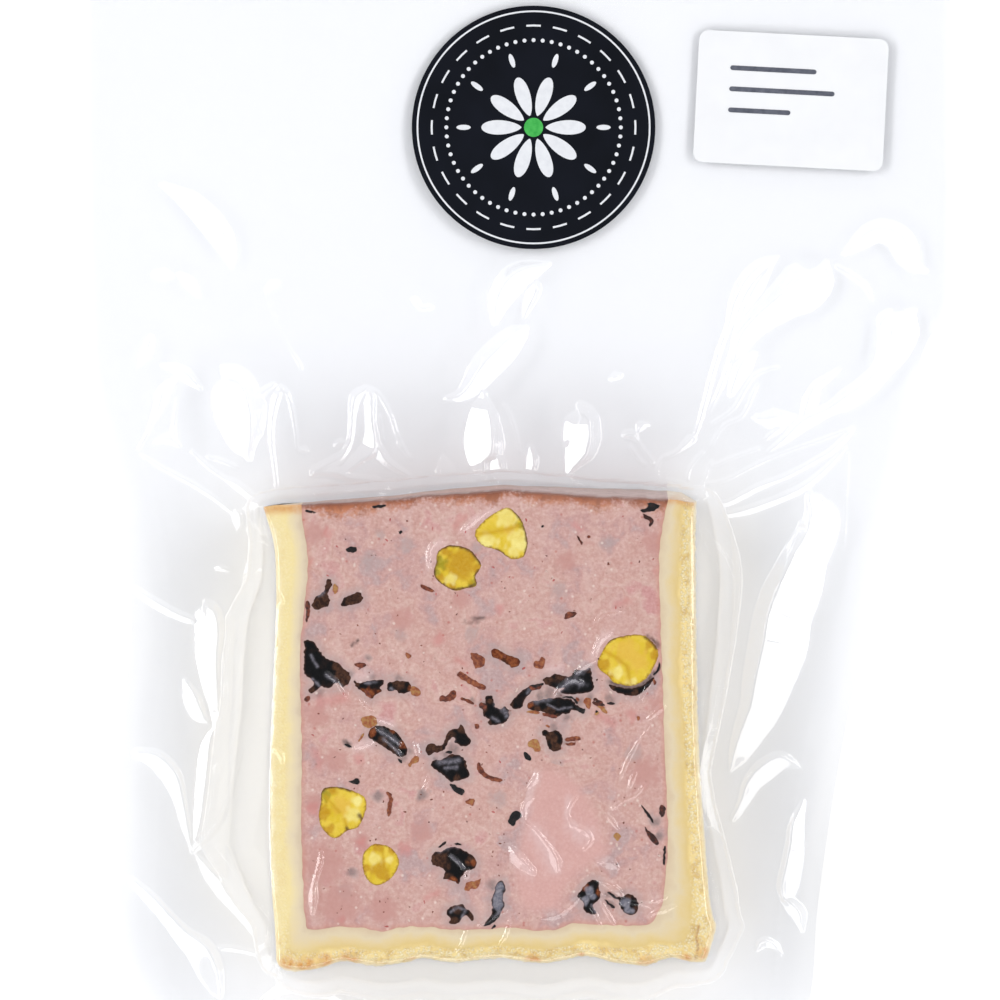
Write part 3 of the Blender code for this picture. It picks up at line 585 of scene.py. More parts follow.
    [(-64.8, -97.2, 0.5), (-60.0, -96.9, 1.0), (-55.0, -97.8, 0.8), (-51.0, -98.8, 0.5)],
    [(-58.7, -6.8, 2.0), (-58.4, -8.2, 1.6), (-58.4, -9.6, 0.6)],
    [(-56.2, -9.6, 0.8), (-55.4, -10.2, 1.8), (-54.6, -10.4, 0.8)],
    [(-62.8, -17.8, 0.6), (-61.4, -17.9, 1.0), (-60.2, -18.2, 0.6)],
    [(-55.6, -14.8, 0.5), (-56.6, -17.8, 0.6), (-57.2, -21.0, 0.5)],
    [(-56.0, -110.4, 0.8), (-50.0, -105.6, 1.6), (-43.6, -104.8, 1.8), (-36.0, -108.0, 0.8)],
    [(22.0, -104.6, 0.8), (30.0, -103.8, 1.4), (38.0, -100.4, 0.8)],
]

# The same for small creases where the film lies on the cut face
creases = [
    [(2.9, -65.4, 0.6), (1.7, -66.6, 0.9), (1.5, -68.8, 0.7)],
    [(0.6, -69.6, 0.5), (2.2, -70.6, 0.5), (4.4, -73.0, 0.6), (6.4, -75.8, 0.8), (7.4, -78.4, 1.3),
     (7.9, -79.8, 0.6)],
    [(3.9, -60.0, 0.6), (3.6, -61.6, 0.9), (2.2, -63.0, 0.5)],
    [(11.9, -64.6, 0.5), (10.4, -66.6, 0.6), (10.0, -68.4, 0.5), (10.8, -70.6, 0.5)],
    [(11.0, -70.8, 0.5), (13.0, -71.8, 0.9), (14.8, -73.4, 0.7), (13.6, -75.4, 0.5)],
    [(24.3, -60.2, 0.6), (23.6, -61.8, 0.7), (23.3, -62.6, 0.5)],
    [(26.2, -62.4, 0.5), (24.6, -64.4, 0.6), (22.0, -65.6, 0.5), (19.8, -67.2, 0.6)],
    [(18.2, -68.6, 0.5), (19.2, -70.0, 0.7), (20.4, -71.4, 0.5)],
    [(17.0, -78.6, 0.6), (18.8, -79.0, 1.4), (20.4, -79.6, 0.6)],
    [(-1.8, -75.0, 0.6), (-0.6, -77.8, 1.6), (2.2, -80.2, 1.2)],
    [(16.4, -82.2, 0.5), (18.4, -83.0, 1.0), (20.6, -84.6, 0.8), (21.2, -85.4, 0.5)],
    [(17.4, -84.8, 0.5), (19.4, -86.0, 0.5), (20.8, -87.0, 0.5)],
    [(17.0, -86.4, 0.5), (18.2, -88.8, 0.6), (19.6, -91.0, 0.5)],
    [(15.0, -88.0, 0.5), (16.0, -89.6, 0.5), (16.8, -91.4, 0.5)],
    [(5.2, -90.0, 0.5), (8.0, -89.6, 1.0), (10.6, -87.8, 0.8), (12.6, -85.8, 0.5)],
    [(23.4, -86.8, 0.5), (26.0, -87.2, 0.6), (28.0, -88.0, 0.5)],
    [(28.2, -86.6, 0.6), (29.4, -86.2, 0.8), (30.4, -85.8, 0.5)],
    [(27.6, -89.4, 0.5), (28.6, -88.8, 0.8), (30.6, -88.4, 0.8), (32.2, -87.6, 0.5)],
    [(-41.0, -76.4, 0.5), (-41.2, -77.6, 0.8), (-41.8, -80.0, 0.7), (-42.6, -83.0, 0.8), (-42.9, -86.0, 1.1),
     (-42.8, -88.6, 0.6)],
    [(-5.0, -5.0, 0.5), (-7.4, -6.6, 0.7), (-9.4, -8.2, 0.9), (-11.4, -9.8, 0.6)],
    [(-14.6, -12.0, 0.5), (-16.6, -12.0, 0.6), (-17.9, -13.2, 0.7), (-18.4, -15.4, 0.6), (-18.2, -17.0, 0.5)],
    [(19.0, -31.2, 0.6), (17.4, -32.4, 0.9), (16.2, -34.6, 0.7), (16.0, -35.6, 0.5)],
    [(16.0, -36.6, 0.5), (14.2, -37.6, 0.9), (12.4, -39.0, 0.7)],
    [(13.0, -41.2, 0.5), (11.4, -40.7, 0.9), (10.0, -41.3, 0.6), (8.6, -42.4, 0.6), (7.8, -43.6, 0.5)],
    [(29.8, -46.6, 0.9), (27.6, -48.4, 0.7), (26.6, -49.4, 0.5)],
    [(27.0, -42.0, 0.5), (26.2, -43.4, 0.5), (25.6, -44.4, 0.5)],
    [(25.2, -52.8, 0.5), (23.8, -55.6, 0.6), (22.4, -58.4, 0.6), (21.4, -60.6, 0.5)],
    [(27.2, -49.8, 0.5), (26.2, -52.0, 0.5)],
    [(-39.6, -39.4, 0.5), (-38.0, -40.8, 0.6), (-36.8, -42.6, 0.5), (-35.6, -44.0, 0.5)],
    [(-32.6, -45.0, 0.5), (-31.4, -46.4, 0.5), (-30.2, -46.8, 0.5)],
    [(-33.8, -54.8, 0.5), (-32.0, -54.4, 0.9), (-30.4, -53.8, 0.7)],
    [(-29.2, -50.8, 0.5), (-27.0, -52.0, 0.6), (-24.6, -54.0, 0.5)],
    [(-27.8, -52.8, 0.5), (-25.8, -54.6, 0.5), (-24.4, -56.2, 0.5)],
    [(-21.6, -53.6, 0.5), (-21.3, -54.8, 0.7), (-21.0, -56.0, 0.5)],
    [(-29.4, -48.7, 0.5), (-27.6, -49.2, 0.7), (-26.0, -49.9, 0.5)],
    [(-14.0, -77.2, 0.5), (-12.4, -78.6, 0.5), (-11.6, -79.6, 0.5)],
    [(-10.6, -80.0, 0.5), (-11.0, -81.2, 0.6)],
    [(-2.6, -88.6, 0.5), (-5.4, -90.0, 0.5), (-8.0, -91.6, 0.5)],
    [(-18.4, -61.0, 0.5), (-19.2, -63.0, 0.6)],
    [(16.2, -28.4, 0.5), (17.6, -27.2, 0.5), (20.6, -26.8, 0.5)],
    [(-50.2, -55.4, 0.6), (-49.4, -56.4, 0.9), (-49.0, -57.8, 0.5)],
    [(-49.6, -22.6, 0.5), (-49.0, -24.4, 0.6)],
    [(-1.6, -90.6, 0.5), (-2.2, -93.0, 0.6), (-3.4, -95.0, 0.5)],
    [(-10.6, -92.4, 0.5), (-11.4, -94.8, 0.6), (-12.6, -96.6, 0.5)],
]


def distanceAlong(path, x, y):
    # signed distance (left of the path is positive) and share of the way along, for many points
    best = np.full(x.shape, 1e9)
    signed, share = np.zeros(x.shape), np.zeros(x.shape)
    lengths = np.hypot(*np.diff(path, axis=0).T)
    total, done = lengths.sum(), 0.0
    for (x0, y0), (x1, y1), length in zip(path, path[1:], lengths):
        ux, uy = (x1 - x0) / length, (y1 - y0) / length
        along = np.clip((x - x0) * ux + (y - y0) * uy, 0, length)
        away = np.hypot(x - x0 - along * ux, y - y0 - along * uy)
        closer = away < best
        best = np.where(closer, away, best)
        side = np.sign((y - y0) * ux - (x - x0) * uy)
        signed = np.where(closer, away * side, signed)
        share = np.where(closer, (done + along) / total, share)
        done += length
    return signed, share


mirror = {
    # a lamp's light comes up to the camera from a flank of the first slope; the second one is a band's back
    "lit": 0.49, "back": 1.1, "round": 0.10,
}


def addBand(heights, x, y, slopeX, slopeY, band):
    # a flank as wide as the band, tilted towards a lamp, with a steeper back behind its crest
    path = smoothPath(band, 0.6)
    middle = path[:, :2]
    run = middle[-1] - middle[0]
    run = run / np.hypot(*run)
    left = np.array([-run[1], run[0]])
    spots = (np.round((middle[:, 1] - y[0, 0]) / film["step"]).astype(int),
             np.round((middle[:, 0] - x[0, 0]) / film["step"]).astype(int))
    base = np.array([slopeX[spots].mean(), slopeY[spots].mean()])
    # uphill may face sideways or away from the front, whichever lies nearer to the sheet's own slope
    uphill = max((left, -left),
                 key=lambda way: (way[1] > -0.35, max(abs(way[0]), way[1]) + 0.8 * (way @ base)))
    along = float(uphill @ base)
    rise = max(math.sqrt(max(mirror["lit"] ** 2 - base @ base + along ** 2, 0.05)) - along, 0.12)
    reach = path[:, 2].max() + 1.0
    low, high = middle.min(axis=0) - reach, middle.max(axis=0) + reach
    window = np.ix_((y[:, 0] > low[1]) & (y[:, 0] < high[1]), (x[0] > low[0]) & (x[0] < high[0]))
    signed, share = distanceAlong(middle, x[window], y[window])
    if uphill @ left < 0:
        signed = -signed
    wide = np.interp(share, np.linspace(0, 1, len(path)), path[:, 2])
    climb = rise * (signed + wide / 2)
    fall = rise * wide - mirror["back"] * (signed - wide / 2)
    roof = 0.5 * (climb + fall - np.sqrt((climb - fall) ** 2 + mirror["round"] ** 2)) + mirror["round"] / 4
    heights[window] = np.maximum(heights[window], roof)


def roundedMax(value, knee):
    # the larger of a value and zero, with its bend rounded over twice the knee
    return np.where(np.abs(value) < knee, (value + knee) ** 2 / (4 * knee), np.maximum(value, 0))


def filmHeights():
    step = film["step"]
    xs = np.arange(bagLow[0] - 2, bagHigh[0] + 2, step)
    ys = np.arange(bagLow[1] - 2, bagHigh[1] + 2, step)
    x, y = np.meshgrid(xs, ys)
    leftX = np.interp(ys, *leftTable)[:, None] + film["inset"][0]
    rightX = np.interp(ys, *rightTable)[:, None] - film["inset"][1]
    bottomY = np.interp(xs, *bottomTable)[None, :] + film["inset"][2]
    topY = topEdge(xs)[None, :]
    sideways = np.maximum(leftX - x, x - rightX)
    endways = np.maximum(bottomY - y, y - topY)
    distance = np.hypot(np.maximum(sideways, 0), np.maximum(endways, 0))
    distance = distance + np.minimum(np.maximum(sideways, endways), 0)
    reach = {side: np.interp(ys if side in ("left", "right") else xs, *np.array(row, float).T)
             for side, row in tent.items()}
    wideX = np.where(x < (leftX + rightX) / 2, reach["left"][:, None], reach["right"][:, None])
    wideY = np.where(y > -50, reach["top"][None, :], reach["bottom"][None, :])
    shareX, shareY = np.maximum(sideways, 0) + 1e-6, np.maximum(endways, 0) + 1e-6
    width = (shareX * wideX + shareY * wideY) / (shareX + shareY)

    flange = film["rim"] + film["rise"] * np.exp(-np.maximum(distance, 0) / film["fall"])
    slow = 0.6 * np.sin(x / 13.0 + 0.6) * np.cos(y / 17.0) + 0.4 * np.sin((x + y) / 21.0)
    flange += film["swell"] * (1 + slow)
    flange += film["waver"][0] * ripple(x, y, 9.0, 21) + film["waver"][1] * ripple(x, y, 3.2, 22)
    bagLeft = np.interp(ys, *edgeTable("left"))[:, None]
    bagRight = np.interp(ys, *edgeTable("right"))[:, None]
    inFromEdge = np.minimum(x - bagLeft, bagRight - x)
    flange += film["sealBump"] * np.exp(-((inFromEdge - film["sealWidth"]) / 0.4) ** 2)
    slopeY, slopeX = np.gradient(flange, step)
    ridges = np.zeros(x.shape)
    for band in bands:
        addBand(ridges, x, y, slopeX, slopeY, np.array(band, float))

    flat = np.zeros(x.shape)
    small = np.zeros(x.shape)
    for crease in creases:
        addBand(small, x, y, flat, flat, np.array(crease, float) * (1, 1, film["creaseWide"]))
    face = sliceTop + film["clear"] + small

    # the upper film leaves the slice in a bend, runs down straight and meets the lower one
    share = distance / width
    bend = film["bend"] * (1 - 0.85 * smoothRamp((y - topY + 3) / 2)) / width
    stands = 1 - roundedMax(share, bend) + roundedMax(share - 1, film["foot"])
    keep = smoothRamp(share / 0.3)
    upper = flange + (face - flange) * stands + ridges * keep
    mid = flange + ridges
    # the lower film lies flat until it climbs to meet the upper one
    climb = np.clip((share - film["climbFrom"]) / (1 - film["climbFrom"]), 0, 1)
    lower = film["under"] + (mid - film["plies"] - film["under"]) * climb
    upper = np.maximum(upper, lower + film["plies"] * 2)
    relief = upper + 0.02 * np.abs(ripple(x, y, 2.5, 31)) * (share < 0)
    return {"x": xs, "y": ys, "upper": upper, "lower": lower, "relief": relief, "edge": inFromEdge}


def edgeTable(side):
    points = smoothPath(bagEdges[side], 0.5)
    order = np.argsort(points[:, 1], kind="stable")
    return points[order, 1], points[order, 0]


def readField(field, name, x, y):
    # bilinear reading of one of the rasters
    xs, ys, values = field["x"], field["y"], field[name]
    step = xs[1] - xs[0]
    u = np.clip((np.asarray(x) - xs[0]) / step, 0, len(xs) - 1.001)
    v = np.clip((np.asarray(y) - ys[0]) / step, 0, len(ys) - 1.001)
    i, j = u.astype(int), v.astype(int)
    fu, fv = u - i, v - j
    return ((values[j, i] * (1 - fu) + values[j, i + 1] * fu) * (1 - fv)
            + (values[j + 1, i] * (1 - fu) + values[j + 1, i + 1] * fu) * fv)


def bagOutline(spacing):
    left, right = smoothPath(bagEdges["left"], spacing), smoothPath(bagEdges["right"], spacing)
    bottomSteps = round((right[-1][0] - left[-1][0]) / spacing)
    t = np.arange(1, bottomSteps)[:, None] / bottomSteps
    bottom = left[-1] + (right[-1] - left[-1]) * t
    bottom[:, 1] -= (left[-1][1] - bagLow[1]) * np.sin(math.pi * t[:, 0])
    topSteps = round((right[0][0] - left[0][0]) / spacing)
    t = np.arange(1, topSteps)[:, None] / topSteps
    top = right[0] + (left[0] - right[0]) * t
    return np.concatenate([left, bottom, right[::-1], top])


def makeFilmMaterial():
    material = bpy.data.materials.new("clearFilm")
    material.use_nodes = True
    tree = material.node_tree
    gloss = tree.nodes["Principled BSDF"]
    gloss.inputs["Base Color"].default_value = (1, 1, 1, 1)
    gloss.inputs["Metallic"].default_value = 1.0
    gloss.inputs["Roughness"].default_value = film["roughness"]
    clear = addNode(tree, "ShaderNodeBsdfTransparent", {"Color": film["tint"]})
    # the same reflection from both sides, as a thin sheet has
    behind = addNode(tree, "ShaderNodeNewGeometry").outputs["Backfacing"]
    index = addNode(tree, "ShaderNodeMapRange", {
        "Value": behind, "To Min": film["index"], "To Max": 1 / film["index"]})
    fresnel = addNode(tree, "ShaderNodeFresnel", {"IOR": index.outputs["Result"]})
    mixed = addNode(tree, "ShaderNodeMixShader", {"Fac": fresnel.outputs["Fac"]})
    tree.links.new(clear.outputs[0], mixed.inputs[1])
    tree.links.new(gloss.outputs[0], mixed.inputs[2])
    tree.links.new(mixed.outputs[0], tree.nodes["Material Output"].inputs["Surface"])
    return material


def distinctFaces(faces):
    # leaves out triangles that name one point twice
    a, b, c = faces.T
    return faces[(a != b) & (b != c) & (a != c)]


def makeFilm(field):
    spacing = film["spacing"]
    outline = bagOutline(spacing["middle"])

    def pickPoints(name, seed, finest):
        # closer points where the sheet bends more
        values, step = field[name], film["step"]
        dy, dx = np.gradient(values, step)
        bend = np.abs(np.gradient(dx, step, axis=1)) + np.abs(np.gradient(dy, step, axis=0))
        bend = bend + np.abs(np.gradient(dx, step, axis=0))
        for axis in (0, 1):
            for shift in (1, 2):
                bend = np.maximum(bend, np.maximum(np.roll(bend, shift, axis), np.roll(bend, -shift, axis)))
        level = np.where(bend > film["tight"], 2.0, np.where(bend > film["slack"], 1.0, 0.0))
        levels = {"x": field["x"], "y": field["y"], "level": level}
        chosen = []
        for rank, size in ((2, finest), (1, spacing["middle"]), (0, spacing["coarse"])):
            points = hexPoints(bagLow[:2] + 1, bagHigh[:2] - 1, size, seed + rank)
            near = readField(levels, "level", points[:, 0], points[:, 1])
            chosen.append(points[np.round(near) == rank])
        points = np.concatenate(chosen)
        points = points[insideLoop(outline, points)]
        return clearOf([outline], points, spacing["middle"] * 0.5)

    def slopes(name, x, y):
        # the sheet's own slope, for its shading normals
        reach = 0.25
        dx = (readField(field, name, x + reach, y) - readField(field, name, x - reach, y)) / (2 * reach)
        dy = (readField(field, name, x, y + reach) - readField(field, name, x, y - reach)) / (2 * reach)
        normals = np.stack([-dx, -dy, np.ones(len(x))], axis=1)
        return normals / np.linalg.norm(normals, axis=1)[:, None]

    upper, upperFaces, upperRings = fillLoops([outline], pickPoints("upper", 41, spacing["fine"]))
    lower, lowerFaces, lowerRings = fillLoops([outline], pickPoints("lower", 51, spacing["fine"] * 1.5))
    upperZ = readField(field, "relief", upper[:, 0], upper[:, 1])
    lowerZ = readField(field, "lower", lower[:, 0], lower[:, 1])
    rim = set(lowerRings[0])
    target = np.zeros(len(lower), int)
    rest = [k for k in range(len(lower)) if k not in rim]
    target[rest] = len(upper) + np.arange(len(rest))
    for top, bottom in zip(upperRings[0], lowerRings[0]):
        target[bottom] = top
    verts = np.concatenate([np.column_stack([upper, upperZ]), np.column_stack([lower[rest], lowerZ[rest]])])
    upperFaces = distinctFaces(upperFaces)
    faces = np.concatenate([upperFaces, distinctFaces(target[lowerFaces][:, ::-1])])
    piece = linkMesh("vacuumFilm", verts, faces.tolist(), makeFilmMaterial())
    up = slopes("relief", verts[:, 0], verts[:, 1])
    down = -slopes("lower", verts[:, 0], verts[:, 1])
    used = np.empty(len(piece.data.loops), int)
    piece.data.loops.foreach_get("vertex_index", used)
    above = np.zeros(len(used), bool)
    above[:upperFaces.size] = True
    piece.data.normals_split_custom_set(np.where(above[:, None], up[used], down[used]).tolist())
    print("film:", len(verts), "points,", len(faces), "triangles")
    return settle(piece, "vacuum_bag")


# The meat, its set-in pieces and the pastry round them

pistachios = {
    "pistachio_1": [(-4.2, -5.6), (-2.2, -4.9), (-1.0, -5.6), (0.6, -7.4), (1.6, -10.2), (1.9, -12.4),
                    (1.3, -14.8),
                    (0.4, -15.4), (-1.2, -15.6), (-2.6, -14.9), (-3.8, -14), (-5.4, -13.4), (-7.2, -12.9),
                    (-8.6, -11.6), (-9, -10.2), (-8.4, -9), (-6.6, -7.2)],
    "pistachio_2": [(-14.2, -12.7), (-11.6, -13), (-9.8, -13.8), (-8.6, -15.2), (-7.7, -16.6), (-8.1, -17.8),
                    (-8.9, -19.2), (-8.6, -20.6), (-9.2, -21.4), (-10.8, -21.6), (-12.4, -22.1),
                    (-13.8, -21.9),
                    (-15.8, -20.8), (-17.2, -19.4), (-17.5, -17.8), (-17, -16.4), (-16.9, -14.8),
                    (-16.2, -13.6)],
    "pistachio_3": [(19, -32.4), (21, -31.6), (24, -31.2), (26, -31.4), (27.4, -32.4), (28.6, -33.8),
                    (29.0, -35.4),
                    (28.6, -36.6), (28.0, -38), (26.9, -39.8), (25.3, -41.2), (23.4, -41.8), (21.4, -41.6),
                    (19.6, -41), (18.6, -39.8), (17, -38.6), (16.3, -37.2), (17, -35.4), (18, -33.6)],
    "pistachio_4": [(-40, -62.9), (-37.8, -62.7), (-35.4, -63.1), (-33.4, -63.9), (-31.9, -64.8),
                    (-31.4, -66.6),
                    (-31.8, -68.2), (-32.4, -69.8), (-33.4, -71.2), (-35, -71.6), (-36.2, -72.4),
                    (-37.4, -73.2),
                    (-38.8, -73.1), (-40.2, -71.8), (-41.1, -70.2), (-41.3, -68.2), (-40.9, -66),
                    (-40.8, -64)],
    "pistachio_5": [(-30.2, -74.7), (-28.4, -74.6), (-26.6, -75.2), (-25.4, -76.4), (-24.7, -78),
                    (-25, -79.6),
                    (-26, -81.2), (-27.4, -82.4), (-29.4, -83.1), (-31, -82.2), (-32, -80.4), (-32.3, -78.2),
                    (-31.9, -76.2)],
}
truffles = {
    "truffle_01": [(-44.3, -32.5), (-42.5, -32.6), (-41.4, -34.2), (-40.3, -35.6), (-39.2, -36.4),
                   (-37.3, -37),
                   (-36.2, -38.2), (-35.1, -39), (-34.7, -40.4), (-35.3, -41.5), (-36.4, -42), (-37.3, -41.2),
                   (-38.2, -41.4), (-38.5, -41.9), (-39.6, -42.3), (-40.8, -41.9), (-41.2, -42.4),
                   (-42.2, -43),
                   (-43, -43.4), (-43.4, -42.6), (-42.3, -41.6), (-42.9, -40.4), (-44.1, -39.6),
                   (-44.4, -38.4),
                   (-44.3, -36.6), (-44.4, -35), (-44.2, -33.8)],
    "truffle_02": [(-34, -40.7), (-33, -41.2), (-31.8, -40.9), (-30, -40.6), (-28, -40.6), (-27.9, -41.3),
                   (-28.6, -42), (-28.4, -42.9), (-29.4, -43.6), (-30.2, -44.4), (-31.2, -44), (-32.2, -43),
                   (-33.2, -42.4), (-33.8, -41.6)],
    "truffle_03": [(-27.1, -41.5), (-26.2, -41), (-24.6, -40.8), (-23, -40.9), (-22.2, -41.8), (-22.3, -42.8),
                   (-23.4, -43.3), (-24.8, -43.3), (-25.2, -42.7), (-26.4, -42.9), (-27.1, -42.7)],
    "truffle_04": [(-6.9, -44.3), (-6.3, -43.8), (-5.4, -43.9), (-5.1, -45), (-4.7, -46.2), (-3.6, -46.6),
                   (-2.8, -46.1), (-2.1, -46.8), (-1.9, -48), (-2.3, -49), (-3.4, -49.6), (-4.6, -49.8),
                   (-5.9, -49.9), (-6.3, -49.4), (-6.1, -48.7), (-7, -48.2), (-7.4, -47.6), (-7.3, -46.8),
                   (-8.1, -46.2), (-7.6, -45.6), (-6.8, -45.7)],
    "truffle_05": [(-1.5, -45.1), (-0.6, -44.2), (0.4, -43.2), (1.4, -42.4), (2.6, -41.6), (4, -41.6),
                   (4.6, -41.9),
                   (3.4, -42.4), (2.8, -42.9), (2, -43.8), (1.3, -44.6), (1.0, -45.6), (0.7, -46.2),
                   (-0.2, -46.6),
                   (-1.2, -46.4), (-1.7, -45.8)],
    "truffle_06": [(5.2, -41), (5.4, -40.2), (6.8, -39.8), (7.6, -39.3), (9.2, -39.7), (10.8, -39.8),
                   (11.4, -39),
                   (12, -38.4), (13.4, -38.6), (14.8, -38.2), (15.2, -39.2), (15.3, -40.6), (15.7, -41.8),
                   (15.2, -42.9), (13.6, -43.3), (11.6, -43.5), (9.6, -43.5), (8.7, -43), (9.6, -42.2),
                   (8.2, -42.4), (7.2, -42.1), (6, -41.6)],
    "truffle_07": [(1.9, -45.5), (2.6, -45), (4.2, -44.8), (5.8, -44.4), (7.4, -44.3), (8.8, -44.3),
                   (10.4, -44.5),
                   (11.4, -45), (12, -45.8), (13.4, -46.6), (13.4, -47.4), (12.2, -47), (11, -46.8),
                   (10.6, -47.5),
                   (9.2, -47.6), (8.4, -48.2), (7.2, -48.4), (6, -48), (5.2, -47.2), (4, -47.1), (2.6, -46.8),
                   (1.9, -46.3)],
    "truffle_08": [(18.7, -41.5), (19.2, -42.4), (20.6, -43.2), (22.2, -43.7), (23.6, -43.9), (24.8, -43.7),
                   (25.8, -43), (26.9, -42), (27.7, -41), (28.1, -40.2), (27.6, -40.1), (26.8, -40.8),
                   (25.7, -41.7), (23.6, -42.3), (21.4, -42.15), (19.8, -41.7)],
    "truffle_09": [(-31, -51.4), (-30.4, -50.6), (-29.2, -50), (-27.8, -50.2), (-26.4, -50.8), (-25.2, -51.4),
                   (-24.4, -52.4), (-23.6, -53.6), (-23, -55), (-23.4, -56.2), (-24.6, -56.5), (-26, -55.6),
                   (-27.4, -54.8), (-28.6, -54), (-29.8, -53.2), (-31, -52.4)],
    "truffle_10": [(-11.9, -49.8), (-11.2, -50.6), (-10.8, -51.8), (-10, -52.8), (-9.8, -53.4),
                   (-10.6, -54.2),
                   (-11.6, -54.4), (-12.4, -53.9), (-13.2, -53.5), (-13.1, -52.6), (-13.8, -52.5),
                   (-14.5, -53.4),
                   (-15.2, -54.8), (-16.2, -55.4), (-17.4, -55.6), (-18.2, -56.2), (-18.8, -56.1),
                   (-19.2, -55),
                   (-18.8, -54), (-17.8, -53.7), (-16.6, -54.2), (-15.7, -54.0), (-15.2, -52.8),
                   (-14.6, -51.4),
                   (-13.6, -50.7), (-12.6, -50.6)],
    "truffle_11": [(-18.1, -58), (-17.6, -57.2), (-16.2, -57.1), (-15, -56.6), (-14.4, -56.1), (-13.4, -55.9),
                   (-11.8, -56.4), (-10.9, -57.4), (-10.6, -58.8), (-10.1, -60.2), (-10.8, -60.9),
                   (-12.2, -61.4),
                   (-13.8, -61.6), (-14.8, -61), (-15.6, -60.2), (-16.8, -59.4), (-17.8, -58.7)],
    "truffle_12": [(4.9, -51.3), (5.6, -50.9), (6.4, -51.3), (7.6, -51), (8.7, -51.6), (9.2, -52.8), (9, -54),
                   (8.6, -55), (7.4, -55.4), (6.4, -54.8), (5.9, -53.6), (5.6, -52.4), (5, -52)],
    "truffle_13": [(-15.8, -76), (-14.4, -75.3), (-12.8, -75.2), (-11.4, -75.8), (-10, -76.6), (-9, -77.4),
                   (-8.7, -78.8), (-9.4, -79.8), (-10.6, -80), (-11.4, -80.8), (-12, -81.8), (-12.3, -82.9),
                   (-13, -82.4), (-14.4, -81.9), (-15.6, -81.7), (-15.2, -80.6), (-15.4, -79.8),
                   (-16.6, -79.2),
                   (-17.8, -78.7), (-18, -77.4), (-17.4, -76.2), (-16.6, -76.2)],
    "truffle_14": [(-14.8, -88.4), (-14.2, -87.6), (-12.8, -87.2), (-11.4, -87), (-11, -87.8), (-10.2, -88.2),
                   (-9.4, -89.2), (-9.2, -90.1), (-9.8, -90.4), (-10.4, -89.6), (-11.2, -89.4),
                   (-11.9, -90.2),
                   (-12.4, -90.9), (-13.6, -91.2), (-14.4, -90.8), (-14, -90), (-14.8, -89.2)],
    "truffle_15": [(-3.6, -82), (-2.8, -83), (-2.7, -84.2), (-3.2, -85.6), (-2.9, -87.2), (-3.5, -88.6),
                   (-4.2, -89.8), (-5, -90.7), (-6, -91.2), (-7, -91.2), (-6.4, -90.2), (-5.6, -89.2),
                   (-5.4, -87.6),
                   (-5.6, -86.2), (-5, -84.6), (-4.6, -83)],
    "truffle_16": [(12.2, -85.1), (13.2, -83.8), (14.2, -82.6), (15.2, -82), (16.6, -82.2), (16.6, -83.4),
                   (17, -84.6), (16.8, -85.8), (16, -86.6), (15.4, -87.4), (16.2, -88.8), (15.2, -89.1),
                   (14, -88.6), (13.4, -87.8), (13.6, -86.8), (12.8, -86)],
    "truffle_17": [(20.3, -85.4), (21.4, -85.5), (22.2, -85), (23.2, -84.9), (24.2, -85.5), (24.7, -86.4),
                   (24.8, -87.6), (24.4, -88.8), (23.4, -89.2), (22.4, -89), (21.6, -88.4), (21, -87.4),
                   (20.8, -86.2)],
    "truffle_18": [(-39.5, -19.6), (-38.8, -19.9), (-38.6, -21), (-39.2, -22), (-39.4, -23), (-39, -24.2),
                   (-39.4, -25.2), (-40.6, -25.7), (-41.8, -26.1), (-42.8, -25.2), (-42.4, -24.4),
                   (-42, -23.4),
                   (-41, -22.9), (-40.2, -22), (-39.9, -20.8)],
    "truffle_19": [(-36.7, -24.8), (-36.2, -23.8), (-35.2, -23.2), (-34, -22.6), (-33, -22.3), (-32.4, -23),
                   (-32.2, -23.9), (-32.8, -24.6), (-34.2, -25), (-35.4, -25.2), (-36.5, -25.4)],
    "truffle_20": [(-5.6, -34.6), (-5.2, -34.1), (-4.2, -34.3), (-2.8, -35.1), (-1.2, -35.7), (0, -36.2),
                   (0.4, -37),
                   (-0.2, -37.8), (-1.2, -38.1), (-1.9, -37.6), (-2.8, -37), (-4, -36.3), (-5.4, -35.8)],
}
leanShape = [(-0.4, 0.97), (0.12, 0.92), (0.56, 0.66), (0.85, 0.26), (0.97, -0.17), (0.6, -0.39),
             (0.22, -0.65),
             (0.02, -0.95), (-0.53, -0.97), (-0.86, -0.82), (-0.97, -0.34), (-0.86, 0.1), (-0.63, 0.62)]

